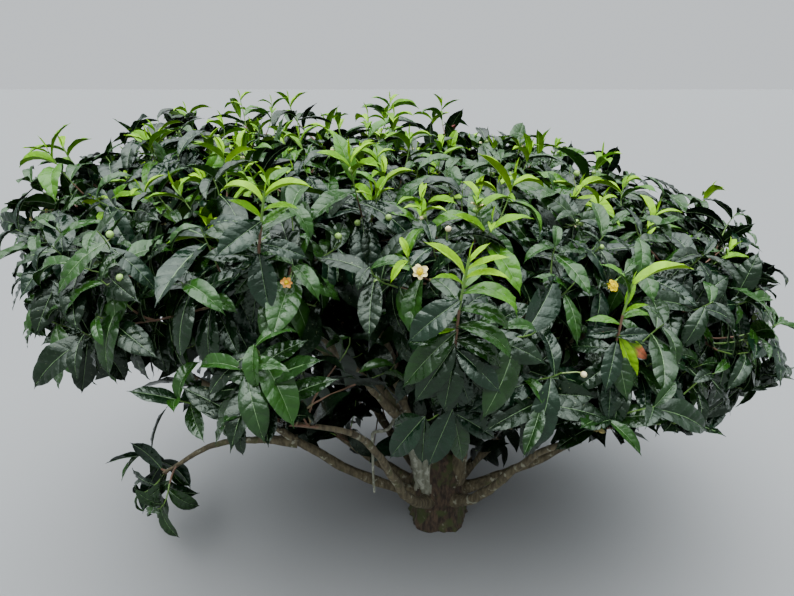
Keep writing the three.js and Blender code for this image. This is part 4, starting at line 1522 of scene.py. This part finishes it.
# A relief is a coarse and a fine share of a limb's radius. Their scales are the same for all limbs.
RELIEF_SCALES = (18, 75)
BARK_SLOT, PALE_SLOT = 0, 1
BOUGH_ROWS = 64
BOUGH_SIDES = 18
BOUGH_RELIEF = (0.16, 0.10)
BOUGH_SWAY = 0.35
BOUGH_SWAY_FADES = 6
BOUGH_SWAYS = 7
BOUGH_SWAY_SEED = 3.1
COLLAR_LENGTH = 0.13
COLLAR_SWELL = 0.75
PALE_BOUGHS = ("inner_3",)
PALE_TO = 0.42
PALE_RAGGED = 0.12
BARE_STEM_BOUGH = "upper_6"
BARE_STEM_FOOT = 0.12
BARE_STEM_POINTS = [
    (-0.155, -0.120, 0.388),
    (-0.198, -0.140, 0.399),
    (-0.197, -0.140, 0.362),
    (-0.198, -0.140, 0.280),
    (-0.195, -0.140, 0.195),
]
BARE_STEM_RADII = (0.0052, 0.0034)
BARE_STEM_ROWS = 26
BARE_STEM_SIDES = 8
TRUNK_ROWS = 60
TRUNK_SIDES = 96
TRUNK_TOP_ROWS = 8
TRUNK_TOP_SHARES = (0.85, 0.02)
TRUNK_UNDER_SHARES = (0.02, 0.5)
TRUNK_RELIEF = (0.05, 0.07)
TRUNK_RELIEF_SEED = 50
TRUNK_SUNK = 0.035
TRUNK_STRETCH = np.array([1, 1, 0.3])
PALE_STRIPE = {"azimuth": math.radians(228), "half_width": 0.42, "from": 0.125, "ragged": (1.5, 0.3)}
JOINT_PLACE = 0.06
JOINT_SWELL = 0.018
JOINT_REACH = 0.045


def bark_relief(points, seed, coarse, fine):
    """How much each point of a limb stands out of or sinks into it, as a share of the limb's radius."""
    values = np.empty(points.shape[:-1])
    for index in np.ndindex(values.shape):
        place = Vector(points[index]) + Vector((seed, 0, 0))
        rough, smooth = (noise.noise(place * scale) for scale in RELIEF_SCALES)
        values[index] = coarse * rough + fine * smooth
    return values


def add_bare_stem(piece):
    """A thin dead stem that hangs from a bough, with a sharp bend near its foot."""
    foot = mass_named(BARE_STEM_BOUGH)["bough"][0].at(BARE_STEM_FOOT)
    corners = np.concatenate([[foot], BARE_STEM_POINTS])
    share = np.linspace(0, 1, BARE_STEM_ROWS)
    spots = np.linspace(0, 1, len(corners))
    line = np.stack([np.interp(share, spots, corners[:, k]) for k in range(3)], axis=1)
    for _ in range(2):
        line[1:-1] = (line[:-2] + line[1:-1] + line[2:]) / 3
    radii = between(*BARE_STEM_RADII, share)
    add_stalk(piece, line, radii, BARE_STEM_SIDES, [PALE_SLOT] * (BARE_STEM_ROWS - 1))


def build_boughs():
    piece = Piece()
    share = np.linspace(0, 1, BOUGH_ROWS)
    quads = grid_quads(BOUGH_ROWS, BOUGH_SIDES, closed=True)
    for number, mass in enumerate(masses):
        curve, radius = mass["bough"]
        points = curve.at(share)
        reach = np.linspace(0, steps_along(points).sum(), BOUGH_ROWS)
        spots = [[Vector((s * BOUGH_SWAYS, number * BOUGH_SWAY_SEED, k)) for k in range(3)] for s in share]
        sway = np.array([[noise.noise(spot) for spot in row] for row in spots])
        fading = np.minimum(1, BOUGH_SWAY_FADES * share * (1 - share))[:, None]
        points = points + sway * (BOUGH_SWAY * radius) * fading
        collar = 1 + COLLAR_SWELL * np.clip(1 - reach / COLLAR_LENGTH, 0, 1) ** 2
        ring = tube(points, between(radius, BOUGH_TIP_RADIUS, share) * collar, BOUGH_SIDES)
        relief = bark_relief(ring, number, *BOUGH_RELIEF)
        middle = points[:, None, :]
        ring = middle + (ring - middle) * (1 + relief[..., None])
        slots = BARK_SLOT
        if mass["name"] in PALE_BOUGHS:
            ragged = relief[:-1].ravel() / np.abs(relief).max()
            slots = (np.repeat(share[:-1], BOUGH_SIDES) + PALE_RAGGED * ragged < PALE_TO).astype(int)
        piece.add(ring, quads, slots)
    add_bare_stem(piece)
    return piece.build("boughs_bark", [BOUGH_BARK, PALE_BARK])


def joint_swell(surface):
    """How far the trunk swells out round the boughs that leave it."""
    swell = np.zeros(surface.shape[:-1])
    for mass in masses:
        if mass["ring"]["name"] in ("inner", "lower"):
            apart = np.linalg.norm(surface - mass["bough"][0].at(JOINT_PLACE), axis=-1)
            swell = np.maximum(swell, JOINT_SWELL * np.exp(-((apart / JOINT_REACH) ** 2)))
    return swell


def build_trunk():
    height = np.linspace(0, TRUNK_HEIGHT, TRUNK_ROWS)[:, None]
    azimuth = (np.arange(TRUNK_SIDES) * FULL_TURN / TRUNK_SIDES)[None, :]
    share = height / TRUNK_HEIGHT
    flare = ROOT_FLARE * np.exp(-height / ROOT_FLARE_HEIGHT)
    lobes = 1 + TRUNK_LOBE_DEPTH * np.sin(TRUNK_LOBES * azimuth) * (1 - share)
    shoulder = np.sqrt(1 - (height / TRUNK_SHOULDER_HEIGHT) ** TRUNK_SHOULDER_SHARPNESS)
    radius = (TRUNK_RADIUS + flare) * lobes * shoulder
    middle = np.stack([TRUNK_LEAN[0] * share, TRUNK_LEAN[1] * share, height], axis=-1)
    out = np.stack([np.cos(azimuth), np.sin(azimuth), np.zeros_like(azimuth)], axis=-1)
    ring = middle + radius[..., None] * out
    bark = bark_relief(ring * TRUNK_STRETCH, TRUNK_RELIEF_SEED, *TRUNK_RELIEF)
    relief = bark - TRUNK_SUNK + joint_swell(ring) / radius
    aside = np.abs((azimuth - PALE_STRIPE["azimuth"] + math.pi) % FULL_TURN - math.pi)
    sideways, upward = PALE_STRIPE["ragged"]
    striped = aside + sideways * bark < PALE_STRIPE["half_width"]
    pale = striped & (height + upward * bark > PALE_STRIPE["from"])
    ring = middle + (ring - middle) * (1 + relief[..., None])
    top = [between(middle[-1], ring[-1], s) for s in np.linspace(*TRUNK_TOP_SHARES, TRUNK_TOP_ROWS)]
    under = [between(middle[0], ring[0], s) for s in TRUNK_UNDER_SHARES]
    whole = np.concatenate([np.array(under), ring, np.array(top)])
    slots = np.full((len(whole) - 1, TRUNK_SIDES), BARK_SLOT)
    slots[len(under) : len(under) + TRUNK_ROWS] = np.where(pale, PALE_SLOT, BARK_SLOT)
    piece = Piece()
    piece.add(whole, grid_quads(len(whole), TRUNK_SIDES, closed=True), slots.ravel())
    return piece.build("trunk_bark_relief", [TRUNK_BARK, PALE_BARK])


finish_piece(build_boughs(), [f"bough_{mass['name']}" for mass in masses])
finish_piece(build_trunk(), ["trunk"])

# Camera, lights and floor.

CAMERA_PLACE = (-0.13, -1.57, 1.35)
CAMERA_TILT_DOWN = 21.3
CAMERA_LENS = 27.7
CAMERA_SENSOR = 36
SOFT_LIGHT_STRENGTH = 1.6
SOFT_LIGHT_SPREAD = math.radians(42)
SOFT_LIGHT_TURN = (math.radians(18), math.radians(-10), 0)
SKY_COLOUR = (0.88, 0.93, 0.97)
SKY_BRIGHTENS = (0.54, 0.97)
HORIZON_BRIGHTNESS = 0.86
ZENITH_BRIGHTNESS = 8.2
FLOOR_REACH = 30.0
FLOOR_COLOUR = (0.191, 0.195, 0.195)
FLOOR_ROUGHNESS = 0.9

camera_data = bpy.data.cameras.new("camera")
camera_data.lens = CAMERA_LENS
camera_data.sensor_width = CAMERA_SENSOR
camera = new_object("camera", camera_data)
camera.location = CAMERA_PLACE
camera.rotation_euler = (math.radians(90 - CAMERA_TILT_DOWN), 0, 0)
bpy.context.scene.camera = camera

soft_light_data = bpy.data.lights.new("overhead_soft", "SUN")
soft_light_data.energy = SOFT_LIGHT_STRENGTH
soft_light_data.angle = SOFT_LIGHT_SPREAD
soft_light = new_object("overhead_soft", soft_light_data)
soft_light.rotation_euler = SOFT_LIGHT_TURN

world = bpy.data.worlds.new("sky")
bpy.context.scene.world = world
sky = NodeTree(world)
direction = sky.new("TexCoord").outputs["Generated"]
height = sky.new("SeparateXYZ", Vector=direction).outputs["Z"]
brightness = sky.ramp(height, *SKY_BRIGHTENS, (HORIZON_BRIGHTNESS, ZENITH_BRIGHTNESS))
sky.set(sky.nodes["Background"], Color=SKY_COLOUR, Strength=brightness)

floor_mesh = bpy.data.meshes.new("floor")
corners = [(FLOOR_REACH * x, FLOOR_REACH * y, 0) for x, y in ((-1, -1), (1, -1), (1, 1), (-1, 1))]
floor_mesh.from_pydata(corners, [], [(0, 1, 2, 3)])
floor = new_object("floor", floor_mesh)
floor_material, floor_tree, floor_shader = new_material("floor")
floor_tree.set(floor_shader, Base_Color=FLOOR_COLOUR, Roughness=FLOOR_ROUGHNESS)
floor_mesh.materials.append(floor_material)
